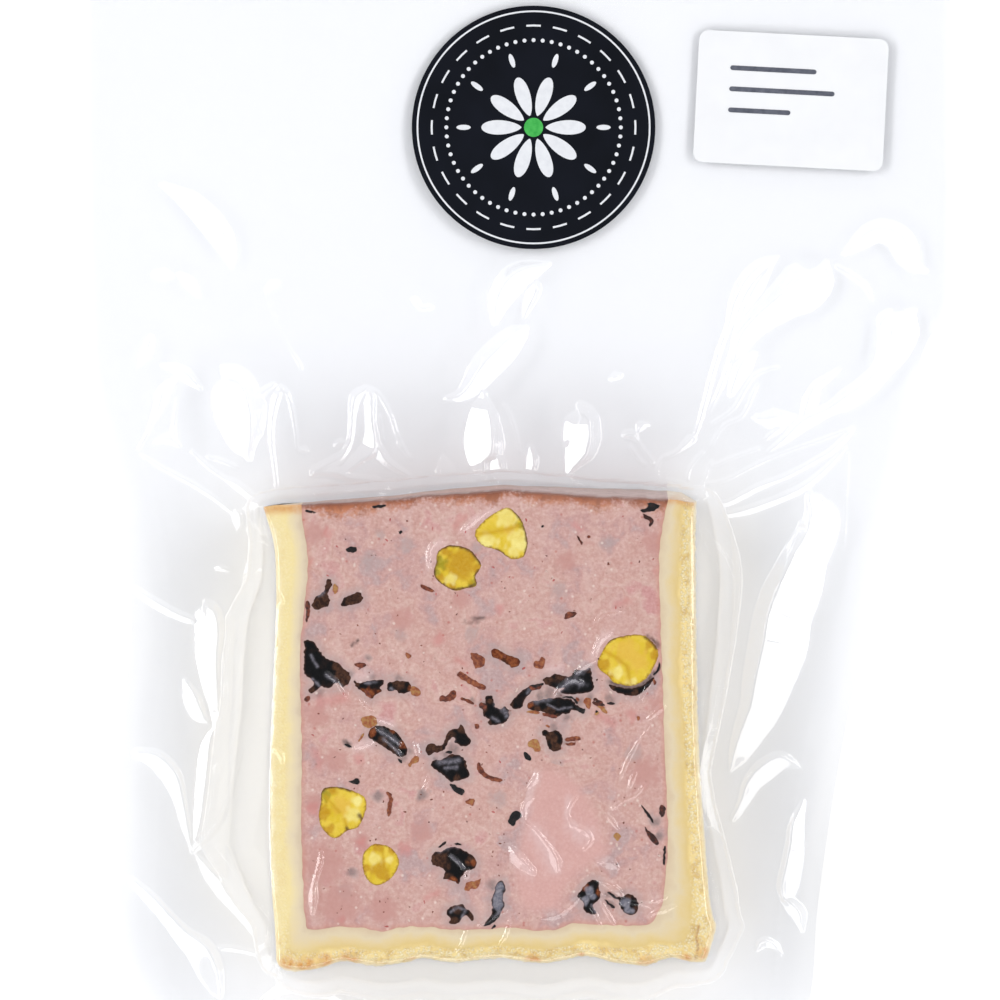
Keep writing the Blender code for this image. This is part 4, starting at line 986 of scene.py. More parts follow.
# Colour on the set-in pieces: patches as x, y and radius, and lines as paths. The glints and grey veils on the
# truffles and the pale streaks on the meat are painted reflections of the film.
marks = {
    "pistachio_1": {"light": [(-2.4, -7.0, 2.8), (0.2, -12.0, 3.2), (-6.4, -12.0, 2.6), (-1.0, -14.0, 1.6)],
                    "warm": [(-2.0, -9.5, 1.4)],
                    "green": [(0.4, -8.4, 1.0)],
                    "seam": [(0.5, [(-8.5, -10.4), (-4.8, -9.9), (-1.5, -9.2), (0, -8.6)])],
                    "line": [(0.2, [(-1.2, -5.4), (0.1, -6.8), (1.5, -9.8), (1.9, -12.4), (1.3, -14.6)]),
                             (0.35, [(-4.2, -13.9), (-3.2, -14.6), (-2.4, -15.2)])]},
    "pistachio_2": {"green": [(-16.2, -16.4, 1.9), (-9.4, -20.8, 1.3), (-16.8, -18.2, 1.0)],
                    "deep": [(-12.0, -16.6, 4.2), (-8.6, -17.4, 1.5), (-13.8, -21.2, 1.2),
                             (-16.2, -19.4, 1.2),
                             (-10.2, -14.8, 1.6), (-15.2, -14.0, 1.4)],
                    "light": [(-14.0, -19.6, 1.5)],
                    "seam": [(0.4, [(-15, -16.8), (-12.4, -18.4), (-9.8, -20.6)])],
                    "line": [(0.35, [(-17.2, -14.6), (-16, -13.2), (-14.2, -12.7), (-11.6, -13.0),
                                     (-9.9, -13.8),
                                     (-8.8, -15.1), (-7.8, -16.4)]),
                             (0.25, [(-8.2, -17.8), (-9.0, -19.2), (-8.6, -20.6), (-10.6, -21.5),
                                     (-13.8, -21.9),
                                     (-15.9, -20.8), (-17.2, -19.3), (-17.6, -17.6), (-17.1, -16.0)])]},
    "pistachio_3": {"warm": [(22.4, -34.6, 3.4), (24.8, -36.6, 2.6)], "light": [(20.6, -39, 1.8),
                                                                                (23.6, -41, 1.2)],
                    "deep": [(17.6, -37.4, 1.8), (28.2, -35.4, 1.6), (19.0, -39.8, 1.2), (27.2, -33.2, 1.4)],
                    "seam": [(0.45, [(17.8, -34.6), (20.0, -35.8), (22.4, -37.6), (22.9, -39.4),
                                     (23.2, -41.2)])],
                    "line": [(0.25, [(26.2, -31.8), (27.6, -32.7), (28.6, -34.0)]),
                             (0.2, [(18.4, -32.8), (20.6, -31.5), (23.6, -31.0)])]},
    "pistachio_4": {"deep": [(-40.6, -68, 2.2), (-39.2, -71.6, 1.4), (-38.4, -63.6, 1.2)],
                    "warm": [(-36.4, -66.6, 2.6)], "light": [(-34.2, -68.4, 2.0), (-33.4, -65.6, 1.4)],
                    "green": [(-39.9, -64.5, 1.4)],
                    "seam": [(0.5, [(-40, -64.6), (-38.2, -66.6), (-37, -68)]), (0.35, [(-36, -69.4),
                                                                                        (-35.4, -71.4)])],
                    "line": [(0.3, [(-41.2, -66.4), (-40.8, -64), (-39.8, -62.8), (-37.4, -62.7),
                                    (-34.8, -63.4)]),
                             (0.3, [(-35.6, -71.2), (-35.0, -71.8)]), (0.35, [(-32.8, -68.6),
                                                                              (-32.4, -69.4)])]},
    "pistachio_5": {"light": [(-29.8, -77.6, 1.6), (-26.8, -77.8, 1.0)],
                    "deep": [(-29, -75.1, 1.6), (-27.2, -81.4, 1.1), (-26, -75.8, 1.2), (-31.6, -79.6, 1.2),
                             (-28.6, -80.0, 2.4)],
                    "seam": [(0.35, [(-28.2, -75.6), (-27.9, -77.6), (-27.7, -79.6), (-28, -81.4)])]},
    "truffle_01": {"brown": [(-36.2, -39.6, 2.6), (-37.4, -37.8, 1.5), (-43.0, -42.4, 1.3),
                             (-44.0, -44.0, 1.2),
                             (-44.6, -34.6, 0.7)],
                   "paintedGlint": [(0.35, [(-39.8, -39.6), (-38, -40.8), (-36.8, -42.2)]),
                             (0.25, [(-43, -35.4), (-41.6, -37.8)]), (0.25, [(-42.6, -40.4),
                                                                             (-41.2, -41.8)])]},
    "truffle_02": {"rust": [(-30.8, -43.6, 1.5), (-32.2, -42.8, 0.8), (-28.8, -43.2, 0.8)],
                   "brown": [(-33.6, -41.6, 0.7)],
                   "paintedGlint": [(0.3, [(-31.8, -41.2), (-29.6, -41.0)])]},
    "truffle_03": {"brown": [(-24.6, -41.6, 1.6)], "rust": [(-22.0, -42.4, 1.0)],
                   "paintedGlint": [(0.3, [(-25.8, -42.9), (-26.4, -42.3)])]},
    "truffle_04": {"brown": [(-7.4, -46.4, 1.5), (-6, -49.6, 0.8), (-5.9, -45, 0.8)],
                   "paintedGlint": [(0.5, [(-4.4, -45.6), (-3.2, -46.6), (-2.4, -48)]), (0.3, [(-5.4, -48.4),
                                                                                        (-4.0, -49.2)])]},
    "truffle_05": {"brown": [(-1.6, -45.6, 0.9)], "paintedGlint": [(0.3, [(1.8, -43.4), (2.2, -42.6)])]},
    "truffle_06": {"brown": [(6.2, -40.5, 1.6), (8.8, -39.8, 1.6), (12.4, -38.4, 1.0), (14.6, -38.6, 0.9)],
                   "paintedGlint": [(0.5, [(15.2, -37.6), (13.8, -38.3), (12.2, -39.3)]),
                             (0.6, [(13.2, -41.4), (11.6, -40.8), (10.2, -41.0), (9.6, -41.8),
                                    (8.4, -42.7)])]},
    "truffle_07": {"rust": [(2.3, -45.7, 1.2)], "brown": [(6.4, -47.4, 1.8), (3.8, -46.8, 1.1),
                                                          (8.0, -48.0, 0.8)],
                   "paintedGlint": [(0.55, [(3.6, -44.9), (5.2, -44.6), (6.6, -44.4)]), (0.2, [(6, -45.6),
                                                                                        (8.2, -46.7),
                                                                                        (11, -46.2)])]},
    "truffle_08": {"brown": [(23.8, -43.5, 1.1), (19.4, -42.1, 0.6)]},
    "truffle_09": {"rust": [(-30.2, -51.4, 1.3), (-23.8, -54, 1.2), (-26, -50.9, 0.9)],
                   "brown": [(-28, -53.6, 1.8), (-26, -55.2, 1.2)],
                   "paintedGlint": [(0.4, [(-29, -51), (-27, -52.2), (-24.8, -53.8)]), (0.25, [(-27.8, -52.8),
                                                                                        (-25.6, -54.8),
                                                                                        (-24.4, -56)])]},
    "truffle_10": {"brown": [(-14.8, -52.2, 2.2), (-18.2, -54.6, 2.0), (-11.6, -50.8, 1.3),
                             (-16.6, -54.9, 1.3)],
                   "paintedGlint": [(0.4, [(-13.4, -53.0), (-14, -54.2)])]},
    "truffle_11": {"brown": [(-13.8, -55.8, 1.0), (-10.6, -58, 0.8), (-12.6, -60.9, 1.0)],
                   "paintedGlint": [(0.5, [(-16.4, -57.6), (-14.4, -57.6), (-12.2, -57.2)]), (0.35, [(-15.2, -58.8),
                                                                                              (-12.8, -58.6)])]},
    "truffle_12": {"brown": [(6.6, -52.2, 1.3), (8, -54.4, 1.3), (7.2, -53.2, 1.2)]},
    "truffle_13": {"brown": [(-9.8, -78.2, 1.4), (-16.4, -78.2, 2.6), (-14.4, -81.4, 1.3)],
                   "rust": [(-13.4, -82.2, 1.2), (-9.4, -78.4, 0.9)],
                   "paintedGlint": [(0.3, [(-14, -77), (-12.4, -78.4), (-11.4, -79.4)]), (0.5, [(-16.4, -75.8),
                                                                                         (-14.6, -74.9),
                                                                                         (-13, -74.7)])]},
    "truffle_14": {"brown": [(-12.8, -87.6, 1.8), (-9.8, -89.6, 1.2), (-13.4, -90.6, 1.3)],
                   "paintedGlint": [(0.3, [(-14, -88.6), (-12.6, -87.6), (-11, -88.2), (-11.6, -89.8)])]},
    "truffle_15": {"paintedSheen": [(-4.0, -83.4, 1.6), (-4, -85.4, 1.8), (-4.2, -87.2, 1.6)],
                   "paintedGlint": [(0.3, [(-3.4, -88.4), (-5, -89.8)])]},
    "truffle_16": {"rust": [(13.8, -83.4, 1.2), (16.7, -84.4, 1.0)], "paintedSheen": [(14.8, -84.2, 1.3),
                                                                              (13.6, -86.2, 1.3),
                                                                              (15.4, -85.4, 0.9)],
                   "paintedGlint": [(0.3, [(15.2, -87.2), (16.2, -88.6)])]},
    "truffle_17": {"brown": [(22.8, -85.3, 0.9), (24.4, -88, 0.9)], "paintedSheen": [(22.2, -86.8, 1.4),
                                                                             (22.6, -88.2, 1.2)]},
    "truffle_18": {"brown": [(-41.4, -24.8, 2.4), (-39.2, -21, 1.6), (-39.8, -23.6, 2.0)],
                   "paintedGlint": [(0.4, [(-41.4, -23.0), (-40.4, -22.4)])]},
    "truffle_19": {"brown": [(-33.2, -23.6, 2.2), (-34.8, -24.4, 1.4)]},
    "truffle_20": {"rust": [(-4.2, -35, 2.6), (-1, -36.8, 2.4)]},
    "lean_piece": {
        # pale streaks over the lean piece: painted reflections of the film's creases
        "paintedGleam": [(1.7, [(3.4, -72.0), (5.6, -75.8), (7.4, -79.4)]), (1.5, [(11.0, -71.0), (13.0, -73.4),
                                                                           (14.8, -72.4)]),
                 (1.4, [(-1.2, -77.0), (2.2, -80.2)]), (1.2, [(17.4, -78.6), (19.6, -78.4), (20.4, -80.0)]),
                 (1.0, [(3.6, -60.4), (2.4, -63.4), (1.6, -67.8)]), (0.8, [(10.4, -65.0), (10.0, -69.0)])],
    },
    "forcemeat": {
        "grey": [(-24.6, -31, 1.8), (-23.2, -12.6, 2.0), (-19.9, -64.2, 1.6), (-29.2, -64.8, 1.8),
                 (-4, -65.2, 2.4),
                 (-9.6, -31, 2), (8.4, -22, 2.2), (-31, -16, 2.2), (18.4, -12.4, 2.2), (-36, -84.4, 2.2),
                 (24, -56, 2.2), (8, -58.4, 2), (20.5, -44.4, 1.5), (-35.4, -53.8, 1.0), (-31.1, -36, 0.9),
                 (-3.4, -82.6, 1.6), (28.2, -69.6, 1.9), (29.4, -72.8, 1.5), (-34, -80.8, 1.4),
                 (0.8, -70.2, 1.2),
                 (9.4, -49.4, 2.2), (-8.6, -13.2, 1.6), (-28.6, -10.4, 1.4), (-26.0, -39.8, 1.0),
                 (0.6, [(-27.2, -40.0), (-25.4, -39.6), (-23.6, -40.2)]), (0.8, [(-41, -42.6),
                                                                                 (-38.6, -42.9),
                                                                                 (-36.6, -42.4)])],
        "smoke": [(6.4, -43.2, 1.5), (4.4, -43.8, 1.3), (8.6, -43.9, 1.2), (12.6, -45.2, 1.3),
                  (14.8, -43.9, 0.8),
                  (10.2, -48.4, 1.0), (18.8, -44.4, 1.2), (-3.0, -47.6, 1.5), (-7.2, -45.4, 0.8),
                  (-13.2, -54.9, 1.4),
                  (-15.2, -56.0, 0.9), (-17.4, -56.8, 0.7), (-23.8, -56.6, 1.0), (-22.4, -55.4, 0.8),
                  (-35.2, -53.9, 0.9),
                  (-19.9, -64.4, 1.5), (-29.0, -64.6, 1.4), (-31.2, -36.0, 0.8), (1.2, -44.0, 0.9),
                  (-41.0, -43.4, 1.0),
                  (-34.6, -39.4, 0.9), (-30.0, -40.0, 0.8), (-24.6, -40.2, 0.8), (-34.6, -80.4, 1.2),
                  (-5.6, -83.0, 1.3),
                  (28.4, -70.0, 1.2), (29.2, -73.0, 1.1), (18.4, -85.2, 1.0), (19.0, -87.0, 1.2),
                  (21.4, -84.4, 0.7),
                  (-9.4, -44.6, 0.7), (7.4, -50.4, 1.2), (9.8, -53.6, 0.7), (1.0, -69.8, 1.0)],
        "pink": [(-40.5, -79.0, 6.0), (-37.0, -87.0, 6.0), (-42.2, -66.0, 2.4), (-32.6, -73.8, 2.2),
                 (-41.6, -48.0, 3.0),
                 (-38.0, -57.0, 3.2), (-28.0, -88.0, 4.0), (-20.0, -72.0, 3.0), (28.0, -12.0, 3.0),
                 (-42.0, -10.0, 3.0),
                 (26.0, -60.0, 4.0), (-24.0, -28.0, 3.0), (-12.0, -24.0, 2.4), (10.0, -16.0, 2.6),
                 (28.8, -46.0, 2.2)],
        "dark": [(0.5, [(19.2, -41.0), (21.4, -41.9), (23.4, -42.2), (25.4, -41.7), (26.8, -40.6),
                        (28.1, -39.2)]),
                 (0.3, [(-9.4, -28.0), (-7.0, -27.8)]), (0.25, [(-11.0, -28.6), (-8.4, -28.5)]),
                 (0.25, [(-34.4, -33.4), (-33.2, -32.4)]), (0.35, [(26.8, -31.6), (28.2, -32.6),
                                                                   (29, -33.6)]),
                 (0.3, [(-36.0, -53.2), (-34.8, -54.3)])],
        # pale streaks: painted reflections of the film where it creases over the meat
        "paintedGleam": [(1.2, [(-33.4, -54.4), (-31, -53.9)]), (0.7, [(-29, -48.9), (-26.4, -49.8)]),
                 (1.1, [(-33.4, -39.8), (-31.8, -39.6)]),
                 (0.9, [(-18.2, -16.6), (-18, -13.8), (-16, -12.2)]), (0.8, [(-11.2, -9.6), (-8.4, -7.2),
                                                                             (-5.4, -5.4)]),
                 (1.0, [(8.6, -38.2), (6.6, -38.0)]), (0.9, [(15.6, -35.6), (16.8, -32.8), (18.8, -31.2)])],
        "red": [(1.1, [(-41, -45), (-38.4, -44.8), (-36, -44.2)]), (-16.5, -32.2, 1.8),
                (0.7, [(-41.9, -55.4), (-41.4, -58.4)]),
                (-33, -57, 1.6), (0.8, [(16.6, -47.8), (18, -48.6), (19.6, -49.6)]), (23.4, -47.8, 1.6),
                (28.4, -18, 0.8),
                (0.6, [(11.2, -8.2), (13, -9.4)]), (26.6, -46.4, 0.6), (-43.2, -16, 1.1), (0.9, [(-13, -8.6),
                                                                                                 (-11.2, -6.8)]),
                (0.6, [(-19.4, -85.8), (-16.8, -84.6)]), (-36.4, -90.2, 0.9), (-4, -26, 1.2),
                (0.7, [(20.2, -25.2), (22.6, -24.0)]),
                (-42.6, -67.4, 1.8), (-23.4, -75.6, 2.0), (-32.6, -74.0, 1.2), (-39.2, -10.2, 1.4),
                (0.5, [(-12.6, -36.4), (-10.8, -37.4)])],
    },
}


def marksAt(node, kind, x, y):
    # how much of one kind of colour there is at each point, 0 to 1
    total = np.zeros(np.shape(x))
    broken = 0.3 * ripple(x, y, 0.9, 93)
    for mark in marks.get(node, {}).get(kind, []):
        if len(mark) == 2:
            away, _ = distanceAlong(np.array(mark[1], float), x, y)
            share = np.exp(-(away / mark[0] * (1 + broken)) ** 2)
        else:
            px, py, radius = mark
            share = smoothRamp(1.8 * (1 - np.hypot(x - px, y - py) / radius * (1 + broken)))
        total = np.maximum(total, share)
    return total


def raggedLoop(points, spacing, rough):
    # a smooth closed outline, counter-clockwise, with a fine uneven edge
    loop = counterClockwise(smoothPath(points, spacing, closed=True))
    along = np.roll(loop, -1, axis=0) - np.roll(loop, 1, axis=0)
    outward = np.column_stack([along[:, 1], -along[:, 0]]) / np.hypot(*along.T)[:, None]
    return loop + outward * (rough * ripple(loop[:, 0], loop[:, 1], 0.45, 77))[:, None]


def gatherLoops():
    loops = {name: raggedLoop(row, 0.35, 0.05) for name, row in pistachios.items()}
    for name, row in truffles.items():
        loops[name] = raggedLoop(row, 0.28, 0.10)
    low, high = boxOf("lean_piece")
    shape = np.array(leanShape).reshape(-1, 2) * (high - low)[:2] / 2 + (low + high)[:2] / 2
    loops["lean_piece"] = raggedLoop(shape, 0.6, 0.1)
    return loops


def shrinkLoop(loop, factor):
    middle = loop.mean(axis=0)
    return middle + (loop - middle) * factor


def heightAt(level):
    return sliceBase + (sliceTop - sliceBase) * level


def wallsAndBack(top, faces, rings, lowered, backPoints):
    # carries a filled face's loops down through lowered ones, and closes the back
    verts, allFaces, count = [top], faces.tolist(), len(top)
    rings = [list(ring) for ring in rings]
    for height, loops in lowered:
        for index, loop in enumerate(loops):
            sides, ring = len(loop), rings[index]
            verts.append(np.column_stack([loop, np.full(sides, height)]))
            below = list(range(count, count + sides))
            count += sides
            for k in range(sides):
                j = (k + 1) % sides
                allFaces.append((ring[j], ring[k], below[k], below[j]))
            rings[index] = below
    backFlat, backFaces, backRings = fillLoops(loops, backPoints)
    target = np.full(len(backFlat), -1)
    for ring, backRing in zip(rings, backRings):
        target[backRing] = ring
    rest = np.flatnonzero(target < 0)
    target[rest] = count + np.arange(len(rest))
    verts.append(np.column_stack([backFlat[rest], np.full(len(rest), sliceBase)]))
    allFaces += target[backFaces][:, ::-1].tolist()
    return np.concatenate(verts), allFaces


cut = {
    "level": -0.08, "fade": 0.6,
    "walls": ((0.5, 0.9), (0.0, 0.84)),         # at this share of the height a set-in piece keeps this size
}


def makeSetIn(name, pieceName, loop, material, spacing, crown, relief, kinds):
    # one piece set in the meat: an uneven upper face and walls that draw in towards its back
    flat, faces, rings = fillLoops([loop], pointsInside([loop], spacing, len(loop), spacing * 0.5))
    inward = distanceTo([loop], flat)
    inward[rings[0]] = 0
    x, y = flat.T
    z = sliceTop + cut["level"] + crown * smoothRamp(inward / 1.2) + relief(x, y) * smoothRamp(inward / 0.5)
    z -= 0.10 * marksAt(name, "seam", x, y) * smoothRamp(inward / 0.4)
    lowered = [(heightAt(level), [shrinkLoop(loop, factor)]) for level, factor in cut["walls"]]
    verts, allFaces = wallsAndBack(np.column_stack([flat, z]), faces, rings, lowered,
                                   pointsInside(lowered[-1][1], 1.4, 3, 0.6))
    piece = linkMesh(pieceName, verts, allFaces, material)
    depth = np.zeros(len(verts))
    depth[:len(flat)] = inward
    setAttribute(piece, "inward", depth * mm)
    for kind in kinds:
        setAttribute(piece, kind, marksAt(name, kind, verts[:, 0], verts[:, 1]))
    outwardFaces(piece)
    return settle(piece, name)


def makePistachioMaterial():
    material, tree, shader = newMaterial("pistachioKernel", 0.5, 0.3)
    place = warpedPlace(tree, objectPlace(tree), 500.0, 0.0014)
    clouds = patches(tree, place, 320.0, 0.36, 0.64)
    fine = patches(tree, place, 1300.0, 0.34, 0.74)
    body = mixColours(tree, clouds, paint(208, 177, 30), paint(219, 190, 64))
    lit = doMath(tree, "MULTIPLY_ADD", clouds, 0.35, 0.5)
    skin = mapRange(tree, doMath(tree, "MULTIPLY_ADD", fine, 0.0005, "inward"), 0.0007, 0.0002)
    body = stain(tree, body, ("deep", 0.95, 184, 138, 4), ("warm", 0.8, 214, 172, 64),
                 ("light", lit, 234, 222, 142), ("green", 0.85, 142, 132, 4), (fine, 0.16, 230, 206, 96),
                 ("seam", 0.7, 190, 148, 8), (skin, 0.85, 136, 96, 32), ("line", 0.9, 74, 44, 24))
    finish(tree, shader, body, fine, 0.0002, 0.4)
    return material


def makeTruffleMaterial():
    material, tree, shader = newMaterial("blackTruffle", 0.55, 0.08)
    place = warpedPlace(tree, objectPlace(tree), 700.0, 0.0012)
    patch = patches(tree, place, 420.0, 0.54, 0.74)
    fine = patches(tree, place, 1500.0, 0.36, 0.68)
    body = mixColours(tree, patch, paint(5, 5, 7), paint(28, 17, 15))
    # brown and rust are the truffle's own colours; the veil is a painted sheen, the film's reflection laid into
    # the colour
    for kind, strength, dark, light in (("brown", 0.9, (46, 26, 19), (84, 54, 38)),
                                        ("rust", 0.95, (96, 42, 20), (148, 84, 46)),
                                        ("paintedSheen", 0.85, (112, 112, 124), (150, 146, 154))):
        mottled = mixColours(tree, fine, paint(*dark), paint(*light))
        body = mixColours(tree, times(tree, kind, strength), body, mottled)
    rim = mapRange(tree, "inward", 0.0004, 0.0)
    # the glint streaks are painted reflections of the film, laid into the truffle's colour
    shine = doMath(tree, "MULTIPLY_ADD", fine, 0.5, 0.35)
    body = stain(tree, body, (rim, 0.6, 76, 48, 40), ("paintedGlint", shine, 134, 130, 140))
    finish(tree, shader, body, fine, 0.0003, 0.5)
    return material


def makeMeatMaterial(name):
    material, tree, shader = newMaterial(name, 0.48, 0.3)
    place = objectPlace(tree)
    moved = warpedPlace(tree, place, 250.0, 0.004)
    grain = noiseAt(tree, place, 1500.0, 3.0, 0.7)["Fac"]
    clouds = noiseAt(tree, moved, 120.0, 3.0, 0.6)["Color"]
    tint = addNode(tree, "ShaderNodeSeparateColor", {"Color": clouds}).outputs
    base = addRamp(tree, tint[0], [
        (0.34, 172, 152, 153), (0.42, 188, 148, 143), (0.48, 202, 166, 157),
        (0.54, 192, 150, 140), (0.60, 206, 174, 163), (0.70, 194, 139, 138)])
    minced = addRamp(tree, grain, [
        (0.32, 164, 120, 112), (0.43, 184, 143, 135), (0.54, 195, 157, 148), (0.64, 208, 176, 168),
        (0.74, 224, 202, 195)])
    body = mixColours(tree, 0.40, base, minced)
    stretched = addNode(tree, "ShaderNodeMapping", {
        "Vector": place, "Rotation": (0, 0, math.radians(35)), "Scale": (1, 0.28, 1)}).outputs["Vector"]
    threads = patches(tree, stretched, 430.0, 0.50, 0.78)
    # painted colours, broken up by the grain
    uneven = doMath(tree, "MULTIPLY_ADD", grain, 1.2, 0.1)
    grey, smoke, red, paintedGleam, edge = [times(tree, kind, uneven, clamp=True)
                                    for kind in ("grey", "smoke", "red", "paintedGleam", "edge")]
    body = stain(tree, body, (threads, 0.28, 214, 188, 180), (grey, 1.0, 166, 149, 147),
                 (smoke, 0.85, 112, 97, 95), ("pink", 0.75, 186, 138, 130), (red, 0.6, 192, 118, 114))
    cells = addNode(tree, "ShaderNodeTexVoronoi", {"Vector": place, "Scale": 900.0}).outputs
    chosen = addNode(tree, "ShaderNodeSeparateColor", {"Color": cells["Color"]}).outputs
    near = mapRange(tree, cells["Distance"], 0.34, 0.12)
    crumbs = (0.04, (172, 92, 84)), (0.07, (228, 212, 202)), (0.04, (132, 92, 78))
    for channel, (share, colour) in enumerate(crumbs):
        kept = doMath(tree, "LESS_THAN", chosen[channel], share)
        body = stain(tree, body, (times(tree, near, kept), 0.6, *colour))
    smoothed = mixColours(tree, tint[1], paint(198, 153, 147), paint(210, 166, 158))
    smoothed = mixColours(tree, 0.2, smoothed, minced)
    body = mixColours(tree, "lean", body, smoothed)
    # the pale streaks are painted reflections of the film; edge and dark are the meat's own colour
    body = stain(tree, body, (paintedGleam, 0.7, 214, 186, 184), (edge, 0.55, 192, 128, 106),
                 ("dark", 0.9, 58, 40, 36))
    # the browned upper edge, which fades into the meat unevenly, and the paler side beyond it
    shift = doMath(tree, "MULTIPLY_ADD", tint[2], 0.0084, -0.0062)
    frayed = doMath(tree, "ADD", "down", doMath(tree, "MULTIPLY_ADD", grain, 0.0040, shift))
    brown = mapRange(tree, frayed, 0.0027, 0.0008)
    reach = mapRange(tree, "down", -0.002, 0.002)
    rightSide = addRamp(tree, reach, [
        (0.0, 150, 104, 86), (0.12, 172, 134, 120), (0.36, 184, 152, 144), (0.46, 132, 82, 68),
        (0.52, 96, 46, 30), (0.64, 150, 78, 44), (1.0, 190, 128, 96)])
    leftSide = addRamp(tree, reach, [
        (0.0, 146, 96, 76), (0.12, 166, 112, 88), (0.36, 176, 124, 100), (0.47, 98, 48, 30),
        (0.56, 120, 58, 32), (0.7, 162, 88, 48), (1.0, 192, 128, 94)])
    crust = mixColours(tree, "side", leftSide, rightSide)
    scorch = patches(tree, moved, 520.0, 0.46, 0.62)
    crust = stain(tree, crust, (scorch, 0.6, 112, 56, 34), (tint[0], 0.5, 186, 138, 118))
    finish(tree, shader, mixColours(tree, brown, body, crust), threads, 0.0003, 0.35)
    return material


def meatWall(spacing):
    # where meat and pastry meet, from the upper left corner round to the upper right one
    points = np.array(edges["meatLeft"] + edges["meatBottom"] + edges["meatRight"], float)
    points[0, 1], points[-1, 1] = topEdge(points[0, 0]), topEdge(points[-1, 0])
    path = smoothPath(points, spacing)
    ragged = 0.13 * smoothRamp((path[:, 1].max() - path[:, 1] - 1) / 2)
    return path + ragged[:, None] * np.stack([ripple(*path.T, 1.3, 75), ripple(*path.T, 1.3, 76)], axis=1)


def meatOutline(spacing):
    wall = meatWall(spacing)
    x = np.linspace(wall[-1, 0], wall[0, 0], round((wall[-1, 0] - wall[0, 0]) / spacing) + 1)[1:-1]
    return np.concatenate([wall, np.column_stack([x, topEdge(x)])])


def makeMeat(loops):
    outline = meatOutline(0.6)
    holes = [loop[::-1] for loop in loops.values()]
    flat, faces, rings = fillLoops([outline] + holes, pointsInside([outline] + holes, 0.6, 9, 0.28))
    x, y = flat.T
    fade = smoothRamp(distanceTo(holes, flat) / cut["fade"])
    grain = 0.06 * ripple(x, y * 1.6, 1.1, 61, 16) + 0.04 * ripple(x, y, 3.0, 62)
    pits = 0.14 * np.maximum(ripple(x, y, 1.6, 63) - 0.9, 0)
    down = topEdge(x) - y
    z = sliceTop + cut["level"] + (grain - pits - 0.02) * fade - 0.5 * np.exp(-np.maximum(down, 0) / 0.45)
    nearTop = topEdge(outline[:, 0]) - outline[:, 1] < 0.3
    lowered = []
    for level, factor in cut["walls"]:
        foot = outline.copy()
        foot[nearTop, 1] += topLean(outline[nearTop, 0]) * (1 - level)
        lowered.append((heightAt(level), [foot] + [shrinkLoop(hole, factor) for hole in holes]))
    verts, allFaces = wallsAndBack(np.column_stack([flat, z]), faces, rings, lowered,
                                   pointsInside(lowered[-1][1], 2.0, 10, 0.7, box=outline))
    piece = linkMesh("pinkForcemeat", verts, allFaces, makeMeatMaterial("pinkForcemeat"))
    x, y = verts[:, 0], verts[:, 1]
    darkHoles = [loops[name] for name in truffles]
    halo = 0.75 * smoothRamp(1 - distanceTo(darkHoles, verts[:, :2]) / 2.2)
    setAttribute(piece, "grey", np.maximum(marksAt("forcemeat", "grey", x, y) * 0.7, halo))
    for kind in ("red", "pink", "paintedGleam", "smoke", "dark"):
        setAttribute(piece, kind, marksAt("forcemeat", kind, x, y))
    setAttribute(piece, "edge", smoothRamp(1.0 - distanceTo([meatWall(0.3)], verts[:, :2]) / 1.2))
    setAttribute(piece, "down", (topEdge(x) - y) * mm)
    setAttribute(piece, "side", smoothRamp((x + 4) / 8))
    outwardFaces(piece)
    settle(piece, "forcemeat")
    print("meat:", len(verts), "points")
    return flat, z, faces


flecks = {
    # how many in a square metre, seed, slot, smallest and largest half sizes, darker and lighter colour
    "darkFlecks": (27000, 3, "black_truffle", (0.07, 0.06, 0.04), (0.3, 0.17, 0.08), (70, 32, 24),
                   (132, 72, 52)),
    "redFlecks": (7000, 5, "pink_forcemeat", (0.12, 0.08, 0.03), (0.5, 0.2, 0.06), (160, 78, 76),
                  (184, 104, 100)),
    "paleFlecks": (5000, 8, "pink_forcemeat", (0.14, 0.1, 0.03), (0.6, 0.3, 0.06), (200, 172, 162),
                   (214, 190, 180)),
}


def scatterTree(name):
    # Geometry Nodes: small uneven lumps scattered over a surface
    tree, source, sink = geometryTree(name, (
        ("Density", "NodeSocketFloat"), ("Seed", "NodeSocketInt"), ("Smallest", "NodeSocketVector"),
        ("Largest", "NodeSocketVector"), ("Material", "NodeSocketMaterial")))
    points = addNode(tree, "GeometryNodeDistributePointsOnFaces", {
        "Mesh": source.outputs["Geometry"], "Density": source.outputs["Density"],
        "Seed": source.outputs["Seed"]})
    lump = addNode(tree, "GeometryNodeMeshIcoSphere", {"Radius": 1.0, "Subdivisions": 2})
    size = addNode(tree, "FunctionNodeRandomValue", {
        "Min": source.outputs["Smallest"], "Max": source.outputs["Largest"], "Seed": source.outputs["Seed"]},
        data_type="FLOAT_VECTOR")
    turn = addNode(tree, "FunctionNodeRandomValue", {"Max": (0.0, 0.0, 6.283), "Seed": 4},
                   data_type="FLOAT_VECTOR")
    spread = addNode(tree, "GeometryNodeInstanceOnPoints", {
        "Points": points.outputs["Points"], "Instance": lump.outputs["Mesh"],
        "Rotation": turn.outputs["Value"], "Scale": size.outputs["Value"]})
    real = addNode(tree, "GeometryNodeRealizeInstances", {"Geometry": spread.outputs[0]})
    noise = addNode(tree, "ShaderNodeTexNoise", {"Scale": 2600.0, "Detail": 1.0})
    shift = addNode(tree, "ShaderNodeVectorMath", {
        0: noise.outputs["Color"], 1: (0.0005, 0.0005, 0), 2: (-0.00025, -0.00025, 0)},
        operation="MULTIPLY_ADD")
    bent = addNode(tree, "GeometryNodeSetPosition", {"Geometry": real.outputs[0], "Offset": shift.outputs[0]})
    coated = addNode(tree, "GeometryNodeSetMaterial", {
        "Geometry": bent.outputs[0], "Material": source.outputs["Material"]})
    tree.links.new(coated.outputs[0], sink.inputs[0])
    return tree


